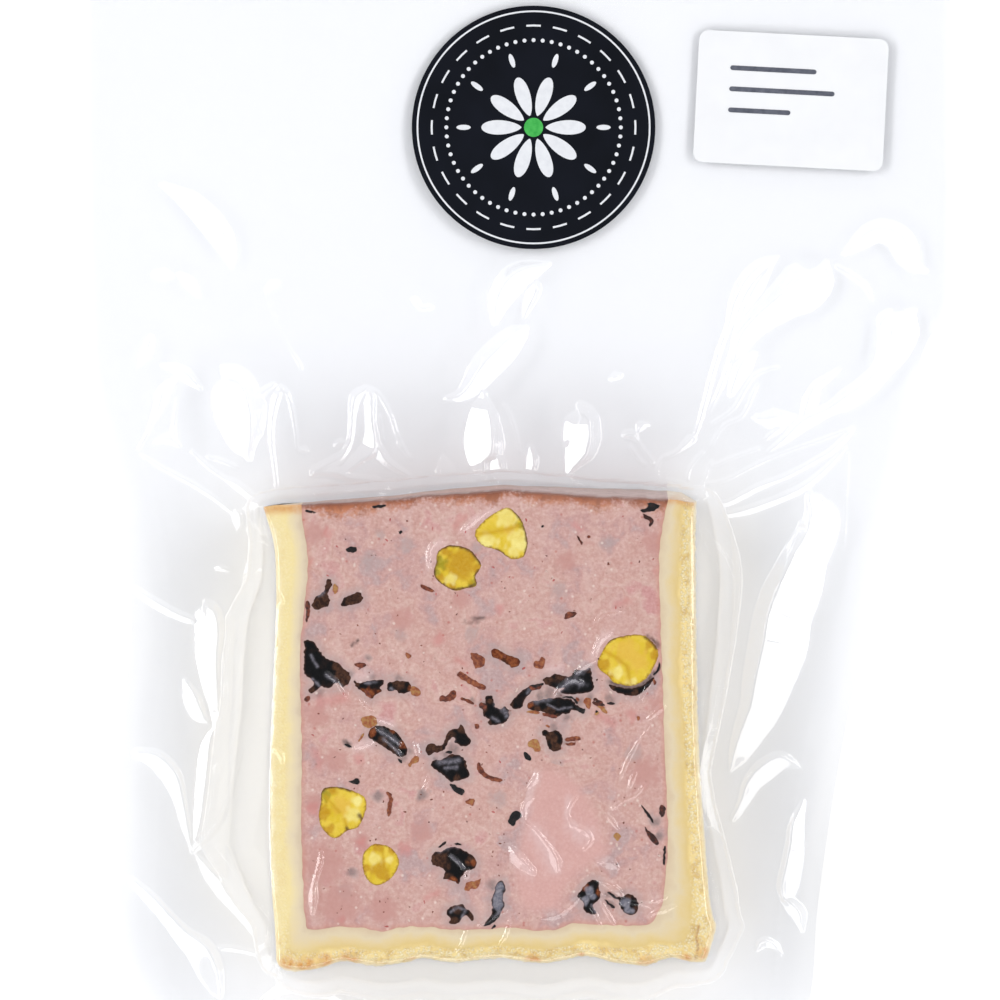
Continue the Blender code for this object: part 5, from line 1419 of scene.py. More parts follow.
def makeFlecks(flat, z, faces):
    # only on the meat's own cut face, clear of its upper edge
    middles = flat[faces].mean(axis=1)
    inner = (topEdge(middles[:, 0]) - middles[:, 1] > 2.5) & (distanceTo([meatWall(0.5)], middles) > 0.9)
    tree = scatterTree("scatterLumps")
    for name, (density, seed, slotName, smallest, largest, dark, light) in flecks.items():
        look = coloured(name, 0.5, 0.3, dark, light, 900.0, 0.35, 0.65)[0]
        piece = runTree(name, tree, np.column_stack([flat, z]), faces[inner].tolist(), {
            "Density": float(density), "Seed": seed, "Smallest": [v * mm for v in smallest],
            "Largest": [v * mm for v in largest], "Material": look})
        piece.data.materials.clear()
        piece.data.materials.append(look)
        piece.data.shade_smooth()
        settle(piece, None)
        print(name, len(piece.data.polygons), "faces")


pastry = {
    "acrossSteps": 30, "wallSteps": 15, "counts": [200, 190, 200],      # stations left, below and right
    "flare": [0.7, 2.6, 2.8],                   # how far the foot stands out beyond the cut face on each
    "groove": 0.22, "grain": 0.2, "blur": 31,
    "cornersOuter": [(-50.4, -99.4), (38.4, -99.3)], "cornersInner": [(-43.6, -91.9), (29.0, -88.6)],
    "toasted": [(-44, -100, 3.0), (-48, -99.4, 2.4), (-40, -99, 2.4), (-35, -99, 3.2), (3, -98.8, 2.4),
                (26.6, -99.4, 2.6), (38.4, -97.2, 1.9), (34.6, -98.4, 1.8), (-22, -99, 1.4),
                (13, -97.8, 1.2)],
    "crack": [(37.4, -91.4), (36.8, -93.6), (37.2, -96), (36.6, -98.4)],
}


def makePastryMaterial():
    material, tree, shader = newMaterial("bakedPastry", 0.62, 0.25)
    place = objectPlace(tree)
    uneven = noiseAt(tree, place, 420.0, 4.0, 0.72)["Fac"]
    shift = doMath(tree, "MULTIPLY_ADD", uneven, 0.26, -0.38)
    drifted = doMath(tree, "MULTIPLY_ADD", noiseAt(tree, place, 130.0, 2.0, 0.6)["Fac"], 0.5, shift)
    moved = doMath(tree, "ADD", "across", drifted)
    sandy = addRamp(tree, moved, [
        (0.00, 206, 186, 157), (0.16, 214, 198, 167), (0.32, 216, 195, 148), (0.48, 214, 189, 128),
        (0.62, 231, 207, 144), (0.82, 237, 214, 154), (1.0, 233, 206, 142)])
    # on the smooth left side, the paler stop near the outer edge is a painted highlight along that edge
    smoothSide = addRamp(tree, moved, [
        (0.00, 204, 186, 160), (0.14, 214, 198, 170), (0.34, 222, 206, 166), (0.50, 228, 210, 154),
        (0.80, 229, 212, 160), (0.92, 234, 221, 182), (1.0, 228, 210, 162)])
    body = mixColours(tree, "sandy", smoothSide, sandy)
    cells = addNode(tree, "ShaderNodeTexVoronoi", {"Vector": place, "Scale": 1700.0}).outputs["Distance"]
    crumbs = times(tree, mapRange(tree, cells, 0.62, 0.15), "rough")
    dips = times(tree, mapRange(tree, uneven, 0.50, 0.38), "rough")
    warm = mapRange(tree, uneven, 0.36, 0.58)
    browned = times(tree, "brown", times(tree, uneven, 2.0), clamp=True)
    low = times(tree, "wall", doMath(tree, "MULTIPLY_ADD", uneven, 1.4, 0.05), clamp=True)
    body = stain(tree, body, (crumbs, 0.75, 250, 240, 210), (dips, 0.55, 206, 166, 96),
                 ("toast", warm, 214, 152, 80), (browned, 1.0, 202, 138, 72), (low, 1.0, 232, 221, 197),
                 ("crack", 1.0, 176, 122, 70))
    finish(tree, shader, body, crumbs, 0.0005, 0.6)
    return material


def makePastry():
    # a strip of stations along the U, each with its own section from the meat round to the outer wall
    inner = meatWall(0.3)
    outer = smoothPath(edges["left"] + edges["bottom"] + edges["right"], 0.3)

    def alongStretch(path, corners):
        # evenly spaced stations on each of the three sides
        bends = [int(np.argmin(np.hypot(*(path - corner).T))) for corner in corners]
        bends = [0] + bends + [len(path) - 1]
        parts = []
        for a, b, count in zip(bends, bends[1:], pastry["counts"]):
            stretch = path[a:b + 1]
            run = np.concatenate([[0], np.cumsum(np.hypot(*np.diff(stretch, axis=0).T))])
            t = np.linspace(0, run[-1], count + 1)[(1 if parts else 0):]
            parts.append(np.stack([np.interp(t, run, stretch[:, k]) for k in (0, 1)], axis=1))
        return np.concatenate(parts)

    outerPath = alongStretch(outer, pastry["cornersOuter"])
    innerPath = alongStretch(inner, pastry["cornersInner"])
    stations = len(outerPath)
    ends = np.cumsum(pastry["counts"])
    place = np.arange(stations)
    sideShare = [place < ends[0], (place >= ends[0]) & (place < ends[1]), place >= ends[1]]
    blur = pastry["blur"]
    padded = [np.pad(row.astype(float), blur // 2, mode="edge") for row in sideShare]
    sideShare = np.stack([np.convolve(row, np.ones(blur) / blur, mode="valid") for row in padded])
    widths = np.hypot(*(outerPath - innerPath).T)
    flares = sideShare.T @ np.array(pastry["flare"])
    faceShare = (1 - flares / widths)[:, None]
    steps, wallSteps = pastry["acrossSteps"], pastry["wallSteps"]
    flatPart = np.linspace(0, 1, steps)[None, :] * faceShare
    t = np.linspace(0, 1, wallSteps + 1)[None, 1:]
    turn = t * math.pi / 2
    wallPart = faceShare + (1 - faceShare) * np.sin(turn) ** 0.9
    wallMark = faceShare + (1 - faceShare) * t
    tall = sliceTop - sliceBase
    wallZ = np.repeat(sliceTop - tall * (1 - np.maximum(np.cos(turn), 0) ** 0.8), stations, axis=0)
    wallZ[:, -1] = sliceBase
    level = np.ones((stations, 1))
    share = np.concatenate([flatPart, wallPart, level * 0.5, level * 0, level * 0], axis=1)
    across = np.concatenate([flatPart, wallMark, level * 0.5, level * 0, level * 0], axis=1)
    z = np.concatenate([np.full((stations, steps), sliceTop), wallZ, level * sliceBase, level * sliceBase,
                        level * (sliceBase + tall / 2)], axis=1)
    rowLength = share.shape[1]
    x = innerPath[:, :1] + (outerPath - innerPath)[:, :1] * share
    y = innerPath[:, 1:] + (outerPath - innerPath)[:, 1:] * share
    top = z > sliceTop - 0.01
    sandy = np.repeat((sideShare.T @ np.array([0.0, 1.0, 1.0]))[:, None], rowLength, axis=1)
    rough = sandy * smoothRamp((across - 0.5) / 0.12) + (1 - sandy) * 0.22 * smoothRamp((across - 0.3) / 0.3)
    groove = pastry["groove"] * np.exp(-((across - 0.47) / 0.08) ** 2) * sandy
    groove = groove * smoothRamp(0.6 + 0.5 * ripple(x, y, 5.0, 77))
    crown = 0.10 * np.exp(-((across - 0.2) / 0.16) ** 2)
    crack, _ = distanceAlong(np.array(pastry["crack"], float), x, y)
    crack = 0.8 * np.exp(-(crack / 0.24) ** 2) * (z > sliceTop - 6)
    z -= np.where(top, groove + 0.10 - crown, 0) + 0.25 * crack
    noise = ripple(x + y * 0.3, z + y, 0.9, 71, 22)
    coarse = ripple(x, y + z * 0.7, 3.4, 72)
    outward = outerPath - innerPath
    outward /= np.hypot(*outward.T)[:, None]
    push = pastry["grain"] * noise * rough + 0.2 * coarse * rough * smoothRamp((across - 0.7) / 0.3)
    moving = np.zeros((stations, rowLength))
    moving[:, :steps + wallSteps - 1] = 1
    for values, part in ((x, 0), (y, 1)):
        values += outward[:, part:part + 1] * push * moving * ~top
    z += np.where(top, 0.35, 0.4) * push * moving
    # both ends of the U run up to the slice's upper edge and lean out to its foot
    for k in (0, stations - 1):
        y[k] = topEdge(x[k]) + topLean(x[k]) * (sliceTop - z[k]) / tall
    faces = []
    for k in range(stations - 1):
        for j in range(rowLength):
            n = (j + 1) % rowLength
            a, b = k * rowLength, (k + 1) * rowLength
            faces.append((a + j, a + n, b + n, b + j))
    faces.append(tuple(range(rowLength - 1, -1, -1)))
    faces.append(tuple((stations - 1) * rowLength + j for j in range(rowLength)))
    piece = linkMesh("pastryCase", np.stack([x, y, z], axis=-1).reshape(-1, 3), faces, makePastryMaterial())
    outerRim = sideShare.T @ np.array([0.0, 0.4, 0.2])
    toast = outerRim[:, None] * rough * smoothRamp((across - 0.84) / 0.12)
    for cx, cy, radius in pastry["toasted"]:
        toast = np.maximum(toast, smoothRamp(1.5 * (1 - np.hypot(x - cx, y - cy) / radius)))
    brown = smoothRamp((np.where(x > 0, 1.6, 2.6) - topEdge(x) + y) / 2.0) * 0.7
    wall = smoothRamp((sliceTop - 2.5 - z) / 9 + 0.12 * coarse)
    painted = {"across": across, "rough": np.clip(rough, 0, 1), "sandy": sandy, "toast": toast,
               "brown": brown, "crack": crack, "wall": wall}
    for name, values in painted.items():
        setAttribute(piece, name, values.ravel())
    outwardFaces(piece)
    print("pastry:", x.size, "points")
    return settle(piece, "pastry_crust")


# Small bits on the cut face: a tint from dark and reddish at 0 to yellowish at 1, then the outline
bits = {
    "brown": [
        (0.2, [(-44.0, -24.4), (-43.4, -24.2), (-43.1, -25.4), (-43.2, -26.8), (-43.6, -28.2), (-44.0, -28.6),
               (-43.9, -26.6), (-44.1, -25.4)]),
        (0.9, [(-38.2, -20.7), (-37.5, -21), (-37.4, -22.2), (-38, -22.8), (-38.4, -21.8)]),
        (0.3, [(-33.9, -37.2), (-32.8, -37), (-31.5, -37.3), (-31.9, -37.9), (-33.2, -38)]),
        (0.6, [(-23.3, -35), (-22.4, -35.2), (-22.2, -35.9), (-23, -36.1)]),
        (0.75, [(-22.1, -41.9), (-20.9, -42.2), (-20.2, -43.2), (-20.6, -43.9), (-21.8, -43.8),
                (-22.3, -43)]),
        (0.85, [(-32.4, -48.4), (-30.0, -48), (-29.2, -49.4), (-29.6, -50.0), (-31.0, -50.5),
                (-32.2, -49.9)]),
        (0.8, [(-33.2, -53.2), (-32.6, -52.2), (-31.9, -51.5), (-32.2, -52.4), (-32.8, -53.2)]),
        (0.3, [(2.4, -41.8), (3.6, -41.9), (4.9, -41.6), (4.4, -42.4), (3.2, -42.7), (2.5, -42.6)]),
        (0.2, [(-8.2, -45.6), (-7.4, -45.2), (-6.6, -45.8), (-6.8, -46.9), (-7.6, -46.6)]),
        (0.45, [(27.9, -40.5), (28.3, -40.4), (28.5, -41.2), (28.1, -41.7)]),
        (0.75, [(1.6, -47.2), (2.6, -46.9), (4.4, -47.2), (4.0, -47.6), (2.6, -47.5)]),
        (0.35, [(5.0, -47.4), (6.4, -47.6), (8.0, -48.0), (7.6, -48.5), (6.0, -48.2), (5.2, -48.0)]),
        (0.9, [(16.4, -45.9), (17.6, -46.1), (18.4, -47.2), (18.0, -47.6), (17.2, -46.9)]),
        (1.0, [(15.8, -47.6), (16.2, -47.1), (16.7, -47.2), (16.4, -47.8), (15.9, -47.9)]),
        (0.45, [(12.0, -44.2), (12.7, -44.6), (12.4, -45.1), (11.8, -44.8)]),
        (0.6, [(5.6, -49.9), (6.6, -50.1), (6.2, -50.5)]),
        (0.7, [(24.6, -48.2), (25.1, -48.1), (25.0, -48.9), (24.6, -48.9)]),
        (0.35, [(-31.9, -42.6), (-30.9, -43.0), (-30.5, -44.3), (-31.4, -43.8)]),
        (0.5, [(-2.7, -35.2), (-3.2, -35.8), (-2.6, -36.0)]),
        (0.5, [(-9.9, -35.2), (-9.4, -34.9), (-8, -35.4), (-6.9, -36.2), (-7, -37.2), (-7.4, -37.9),
               (-8.4, -38.1),
               (-8.9, -38.3), (-9.2, -37.4), (-9.8, -36)]),
        (0.55, [(3.1, -37.2), (3.6, -36.6), (4.2, -36.8), (4.8, -35.8), (5.4, -36.2), (5.5, -37.2),
                (5, -38.1),
                (3.8, -38.2), (3.2, -37.7)]),
        (0.5, [(-12.6, -39.4), (-12, -38.8), (-10.4, -39.8), (-8.4, -41), (-6.8, -41.9), (-7.2, -42.6),
               (-8.6, -42.2), (-10.4, -41.2), (-12.4, -40)]),
        (0.35, [(-16.4, -44.6), (-16, -43.8), (-15, -43.9), (-14, -43), (-13.2, -42.7), (-12.8, -43.6),
                (-13.4, -44.6), (-14.6, -45), (-16, -45)]),
        (0.3, [(-11.8, -44.2), (-10.4, -44.6), (-9.2, -45.3), (-9.4, -45.7), (-10.8, -45.1), (-11.8, -44.7)]),
        (0.4, [(-9, -49.8), (-8.3, -49.7), (-8.1, -50.5), (-8.8, -50.7)]),
        (0.35, [(-8.5, -57.8), (-8, -57.7), (-7.4, -58.8), (-6.6, -59.9), (-5.2, -60.6), (-3.8, -60.9),
                (-3.2, -61.3),
                (-3.8, -61.7), (-5.6, -61.4), (-7.2, -60.6), (-8.4, -59.4)]),
        (0.9, [(2.1, -53.4), (3, -52.8), (4, -53), (4.4, -54), (4.6, -55.2), (3.6, -55.4), (2.8, -54.6),
               (2, -54.4)]),
        (0.6, [(-11, -65.9), (-10.2, -65.3), (-9.2, -65.2), (-9.2, -66.4), (-9.6, -66.6)]),
        (0.75, [(-11.2, -83.7), (-10.6, -82.5), (-9, -82.2), (-7.8, -81.7), (-7.9, -82.5), (-8.6, -83.7),
                (-9.8, -83.8), (-10.4, -84.3), (-11.1, -84.1)]),
        (0.45, [(9.6, -52.9), (10.4, -52.4), (12.6, -52.3), (12.9, -52.9), (11.4, -53.2), (10, -53.3)]),
        (0.45, [(9.6, -53.9), (10.4, -53.6), (11.8, -53.5), (11.6, -54.1), (10.4, -54.2)]),
        (0.0, [(29.2, -67), (29.6, -66.5), (30.2, -66.6), (30.5, -67.4), (30.2, -68.4), (29.6, -69),
               (29.2, -68)]),
        (0.0, [(26.2, -71), (26.8, -71.6), (28.2, -72.8), (29, -74), (28.8, -74.8), (28, -74.4), (27, -73.2),
               (26.4, -72)]),
        (0.0, [(25.8, -6.2), (26.8, -6.6), (27.8, -7.2), (28, -7.8), (27.4, -8.8), (27, -8.6), (27.2, -7.8),
               (26.2, -7.2)]),
        (0.4, [(-20.2, -20.8), (-19.4, -21), (-18.2, -21.6), (-17.2, -22.2), (-18, -22.4), (-19.2, -22),
               (-20.2, -21.4)]),
        (0.3, [(9.5, -27.9), (10, -26.6), (11.4, -26.5), (12, -26.8), (11.6, -27.4), (10.6, -27.8)]),
        (0.2, [(12.1, -10.6), (12.7, -11.3), (13.3, -12.2), (13.1, -12.6), (12.4, -11.6)]),
        (0.3, [(14.3, -10.7), (14.8, -10.6), (14.9, -11.2), (14.4, -11.2)]),
        (0.45, [(-27.4, -63.8), (-26.6, -63.9), (-26, -65.2), (-26.2, -66.6), (-26.4, -68.2), (-26.8, -68.9),
                (-27.2, -68), (-27, -66.4), (-26.8, -65)]),
        (0.8, [(-22.8, -58.2), (-22.2, -57.2), (-21.4, -56.3), (-20.6, -56.6), (-20.7, -57.6), (-21.8, -57.9),
               (-22.4, -58.6)]),
        (1.0, [(19.8, -72.6), (20.6, -72.2), (21.2, -73), (20.6, -73.8), (19.9, -73.5)]),
        (0.7, [(13.5, -44.9), (14.2, -44.2), (15, -44.6), (15.0, -45.8), (14.7, -46.6), (14.0, -46.0)]),
        (0.1, [(15.3, -45.2), (15.8, -44.3), (17.4, -45.2), (18.0, -45.8), (17.0, -46.0), (15.8, -45.8)]),
        (0.3, [(-43.6, -43.9), (-43.1, -44.0), (-43.2, -44.8), (-43.8, -45.2), (-44.3, -44.8),
               (-44.1, -44.2)]),
    ],
    "black": [
        (0.3, [(2.5, -41.7), (3.5, -41.5), (5.0, -41.2), (5.2, -41.7), (4.4, -42.0), (3.3, -42.4)]),
        (0.1, [(8.9, -44.1), (10.6, -43.9), (11.6, -44.3), (12.4, -45.2), (12.0, -45.5), (11.4, -44.7),
               (10.2, -44.3)]),
        (0.2, [(-15.1, -55.6), (-14.4, -55.2), (-13.6, -55.5), (-14.2, -55.9)]),
        (0.2, [(-24.9, -56.8), (-24.2, -57.2), (-24.0, -57.8), (-24.6, -57.6)]),
        (0.2, [(-36.0, -53.8), (-35.0, -54.0), (-34.4, -54.5), (-35.2, -54.5)]),
        (0.3, [(18.4, -84.4), (19.6, -84.9), (20.6, -85.8), (20.2, -86.0), (19.2, -85.3)]),
        (0.3, [(17.8, -86.0), (18.8, -86.6), (20.0, -87.6), (19.6, -87.8), (18.6, -87.1)]),
        (0.2, [(25.4, -66.4), (26.2, -67.2), (27.6, -69.0), (28.0, -70.2), (27.2, -69.4), (26.0, -67.6)]),
        (0.1, [(11.8, -46.1), (12.8, -46.4), (13.8, -46.6), (13.6, -47.5), (12.9, -47.4), (12.2, -46.9)]),
        (0.3, [(-16.6, -75.2), (-15.6, -74.2), (-14.9, -74.0), (-15.2, -74.6), (-16.0, -75.2)]),
        (0.2, [(-13.2, -74.4), (-12.4, -74.3), (-11.8, -74.7), (-12.8, -74.8)]),
        (0.2, [(-5.6, -92.0), (-5.0, -91.2), (-4.6, -91.5), (-5.0, -92.0)]),
        (0.0, [(1.1, -55.6), (1.6, -55.5), (2.4, -56.2), (2.7, -57), (2.2, -57.3), (1.4, -56.8)]),
        (0.0, [(-14.2, -62.4), (-13.6, -62.1), (-12.4, -62.8), (-11.2, -63.4), (-11.4, -64.2), (-11.8, -64.5),
               (-13, -63.8)]),
        (0.0, [(-2.1, -70), (-1.6, -68.6), (-0.8, -67.7), (0.2, -67.9), (0.7, -68.6), (0.2, -69.4),
               (-0.5, -69.8),
               (-0.9, -70.8), (-1.6, -70.6)]),
        (0.0, [(30.2, -75), (30.5, -75.2), (30.4, -77), (30.3, -78.8), (30.0, -78.8), (30.0, -77)]),
        (0.1, [(25.2, -5.4), (26.6, -5), (26.9, -4.4), (26.5, -4.1), (27.2, -3.9), (28, -3.9), (28.4, -4.2),
               (29.3, -4.4), (28.8, -5), (28.2, -5.6), (27, -5.8), (25.8, -5.9)]),
        (0.1, [(-30, -4.5), (-28, -4.3), (-27.4, -4.5), (-28.2, -4.9), (-30, -5)]),
        (0.2, [(-44.2, -5.4), (-43, -5.5), (-42, -5.8), (-42.2, -6.1), (-43.6, -5.9)]),
        (0.0, [(-35.1, -61.7), (-34.2, -61.3), (-33.2, -60.9), (-32.9, -61.8), (-33.6, -62.2)]),
        (0.0, [(29.1, -36.9), (29.4, -37.6), (29.2, -38.6), (28.6, -39.3), (27.9, -39.6), (28.5, -38.6),
               (29.0, -37.6)]),
        (0.1, [(-24.8, -10), (-24.4, -9.6), (-24, -10), (-24.4, -10.4)]),
        (0.1, [(4.7, -8.8), (5, -8.5), (5.3, -8.8), (5, -9.1)]),
        (0.15, [(-35.7, -13.6), (-34.8, -13), (-33.5, -13.2), (-33.7, -14.1), (-34.9, -14.2)]),
        (0.0, [(16, -47), (16.5, -47), (16.4, -47.5), (16, -47.5)]),
        (0.0, [(17.4, -46.7), (17.8, -46.7), (17.8, -47.1), (17.4, -47.1)]),
        (0.3, [(18.4, -45.3), (19.4, -45.2), (20, -45.5), (19.2, -45.7), (18.4, -45.6)]),
        (0.0, [(-7.2, -91.4), (-6.2, -90.6), (-4.8, -89.6), (-3.9, -89.1), (-4.4, -90), (-5.4, -90.9),
               (-6.2, -91.4)]),
    ],
    "lift": 0.07, "depth": 0.6,
}


def makeBits(kind, name, material):
    # each row is a tint, from dark and reddish at 0 to yellowish at 1, then the outline
    verts, faces, tints = [], [], []
    for tint, outline in bits[kind]:
        loop = smoothPath(outline, 0.3, closed=True)
        loop += 0.09 * np.stack([ripple(*loop.T, 0.45, 91), ripple(*loop.T, 0.45, 92)], axis=1)
        loop = counterClockwise(loop)
        sides, start = len(loop), len(verts)
        flat, tops, rings = fillLoops([loop], pointsInside([loop], 0.3, 6, 0.14))
        rise = bits["lift"] * smoothRamp(distanceTo([loop], flat) / 0.3)
        rise[rings[0]] = 0
        verts += np.column_stack([flat, sliceTop - 0.03 + rise]).tolist()
        middle = len(verts)
        foot = sliceTop - bits["depth"]
        verts += np.column_stack([shrinkLoop(loop, 0.85), np.full(sides, foot)]).tolist()
        verts.append((*loop.mean(axis=0), foot))
        faces += (tops + start).tolist()
        for k in range(sides):
            j = (k + 1) % sides
            a, b = start + rings[0][k], start + rings[0][j]
            faces += [(b, a, middle + k, middle + j), (middle + j, middle + k, middle + sides)]
        tints += [tint] * (len(verts) - len(tints))
    piece = linkMesh(name, verts, faces, material)
    setAttribute(piece, "tint", tints)
    return settle(piece, None)


def makeBitMaterial(name, stops):
    material, tree, shader = newMaterial(name, 0.45, 0.3)
    patch = patches(tree, objectPlace(tree), 1100.0, 0.35, 0.68)
    moved = doMath(tree, "MULTIPLY_ADD", patch, 0.5, doMath(tree, "SUBTRACT", "tint", 0.25))
    finish(tree, shader, addRamp(tree, moved, stops), patch, 0.0002, 0.5)
    return material


# The sticker and the label, which lie on the film

sticker = {"rings": 26, "sides": 120, "lift": 0.10, "thick": 0.14}
ink = {"lift": 0.03, "thick": 0.03}


def onFilm(field, x, y, lift):
    return readField(field, "upper", x, y) + lift


def makeThinPatch(name, field, rings, centre, lift, thick, material):
    # a thin closed sheet from rings round a centre, laid on the film
    count = len(rings[0])
    flat = np.concatenate([[centre]] + list(rings))
    verts, faces = [], []
    for side, height in enumerate((lift, lift + thick)):
        z = onFilm(field, flat[:, 0], flat[:, 1], height)
        verts.append(np.column_stack([flat, z]))
        start = side * len(flat)
        for k in range(count):
            j = (k + 1) % count
            tri = (start, start + 1 + k, start + 1 + j)
            faces.append(tri if side else tri[::-1])
            for ring in range(len(rings) - 1):
                a, b = start + 1 + ring * count, start + 1 + (ring + 1) * count
                quad = (a + k, b + k, b + j, a + j)
                faces.append(quad if side else quad[::-1])
    a, b = 1 + (len(rings) - 1) * count, len(flat) + 1 + (len(rings) - 1) * count
    for k in range(count):
        j = (k + 1) % count
        faces.append((a + k, a + j, b + j, b + k))
    return linkMesh(name, np.concatenate(verts), faces, material)


def makeStickerMaterial():
    colours = (10, 13, 20), (15, 18, 27)
    material, tree, shader, place = coloured("blackSticker", 0.45, 0.12, *colours, 90.0, 0.3, 0.7)
    bumpFrom(tree, shader, noiseAt(tree, place, 2600.0, 2.0)["Fac"], 0.00005, 0.3)
    return material


def makePrintMaterial(name, dark, light):
    return coloured(name, 0.5, 0.3, dark, light, 700.0, 0.3, 0.7)[0]


def petalTree(name):
    # Geometry Nodes: one flat shape repeated round a circle
    tree, source, sink = geometryTree(name, (
        ("Count", "NodeSocketInt"), ("Radius", "NodeSocketFloat"), ("Material", "NodeSocketMaterial")))
    circle = addNode(tree, "GeometryNodeMeshCircle", {"Vertices": source.outputs["Count"],
                                                      "Radius": source.outputs["Radius"]})
    position = tree.nodes.new("GeometryNodeInputPosition")
    turn = addNode(tree, "FunctionNodeAlignRotationToVector", {"Vector": position.outputs[0]}, axis="Y")
    spread = addNode(tree, "GeometryNodeInstanceOnPoints", {
        "Points": circle.outputs["Mesh"], "Instance": source.outputs["Geometry"],
        "Rotation": turn.outputs[0]})
    real = addNode(tree, "GeometryNodeRealizeInstances", {"Geometry": spread.outputs[0]})
    coated = addNode(tree, "GeometryNodeSetMaterial", {"Geometry": real.outputs[0],
                                                       "Material": source.outputs["Material"]})
    tree.links.new(coated.outputs[0], sink.inputs[0])
    return tree


def layOnFilm(piece, field, centre, lift):
    # moves a flat print to its place and onto the film
    coords = np.empty(len(piece.data.vertices) * 3)
    piece.data.vertices.foreach_get("co", coords)
    coords = coords.reshape(-1, 3) / mm
    coords[:, 0] += centre[0]
    coords[:, 1] += centre[1]
    coords[:, 2] = onFilm(field, coords[:, 0], coords[:, 1], lift) + coords[:, 2]
    piece.data.vertices.foreach_set("co", (coords * mm).ravel())
    piece.data.update()


def flatShape(outline, thick):
    # a thin closed plate from one outline that a fan from its middle can fill
    outline = np.asarray(outline, float)
    count = len(outline)
    middle = outline.mean(axis=0)
    verts = [(x, y, 0.0) for x, y in outline] + [(x, y, thick) for x, y in outline]
    verts += [(middle[0], middle[1], 0.0), (middle[0], middle[1], thick)]
    faces = []
    for k in range(count):
        j = (k + 1) % count
        faces += [(j, k, 2 * count), (count + k, count + j, 2 * count + 1), (k, j, count + j, count + k)]
    return verts, faces


def ringBand(inner, outer, sides, thick):
    verts, faces = [], []
    for radius in (inner, outer):
        for z in (0.0, thick):
            angles = [2 * math.pi * k / sides for k in range(sides)]
            verts += [(radius * math.cos(angle), radius * math.sin(angle), z) for angle in angles]
    for k in range(sides):
        j = (k + 1) % sides
        innerLow, innerHigh, outerLow, outerHigh = 0, sides, 2 * sides, 3 * sides
        faces += [(innerHigh + k, outerHigh + k, outerHigh + j, innerHigh + j),
                  (innerLow + j, outerLow + j, outerLow + k, innerLow + k),
                  (outerLow + k, outerLow + j, outerHigh + j, outerHigh + k),
                  (innerLow + j, innerLow + k, innerHigh + k, innerHigh + j)]
    return verts, faces


def makeSticker(field):
    low, high = boxOf("round_sticker")
    centre, radius = (low + high)[:2] / 2, (high - low)[0] / 2
    angles = np.linspace(0, 2 * math.pi, sticker["sides"], endpoint=False)
    around = np.column_stack([np.cos(angles), np.sin(angles)])
    rings = [centre + around * radius * (k + 1) / sticker["rings"] for k in range(sticker["rings"])]
    disc = makeThinPatch("roundSticker", field, rings, centre, sticker["lift"], sticker["thick"],
                         makeStickerMaterial())
    settle(disc, "round_sticker")

    white = makePrintMaterial("whitePrint", (206, 208, 213), (216, 218, 222))
    green = makePrintMaterial("greenPrint", (46, 150, 62), (74, 178, 84))
    lift = sticker["lift"] + sticker["thick"] + ink["lift"]
    thick = ink["thick"]
    petal = [(0.9 * math.sin(t) * math.sin(t / 2) ** 0.4 * 1.9, -4.2 * math.cos(t)) for t in
             np.linspace(0, 2 * math.pi, 28, endpoint=False)]
    drop = [(0.55 * math.sin(t), -1.5 * math.cos(t)) for t in np.linspace(0, 2 * math.pi, 16, endpoint=False)]
    dot = [(0.42 * math.cos(t), 0.42 * math.sin(t)) for t in np.linspace(0, 2 * math.pi, 12, endpoint=False)]
    dash = [(-1.5, -0.2), (0, -0.14), (1.5, -0.2), (1.5, 0.2), (0, 0.26), (-1.5, 0.2)]
    circle = [(2.0 * math.cos(t), 2.0 * math.sin(t)) for t in np.linspace(0, 2 * math.pi, 24, endpoint=False)]
    petals = petalTree("petalsRound")
    parts = []
    for part, shape, count, away in (("stickerPetals", petal, 10, 6.7), ("stickerDrops", drop, 10, 14.6),
                                     ("stickerDots", dot, 60, 18.2), ("stickerDashes", dash, 24, 21.2)):
        verts, faces = flatShape(shape, thick)
        sizes = {"Count": count, "Radius": away * mm, "Material": white}
        parts.append(runTree(part, petals, verts, faces, sizes))
    rim = ringBand(radius - 1.35, radius - 1.0, sticker["sides"], thick)
    parts.append(linkMesh("stickerRim", *rim, white))
    eye = linkMesh("stickerEye", *flatShape(circle, thick), green)
    for part in parts + [eye]:
        layOnFilm(part, field, centre, lift)
        part.data.materials.clear()
        part.data.materials.append(green if part is eye else white)
        outwardFaces(part, oneShell=False)
        settle(part, None)
    print("sticker done")


label = {
    "width": 39.6, "height": 27.6, "corner": 2.0, "turn": -3.0, "lift": 0.10, "thick": 0.16, "rings": 12,
    "bars": [(-4.0, 6.2, 18.0), (-2.0, 1.8, 22.0), (-6.5, -2.6, 13.0)],     # middle and length of each
}


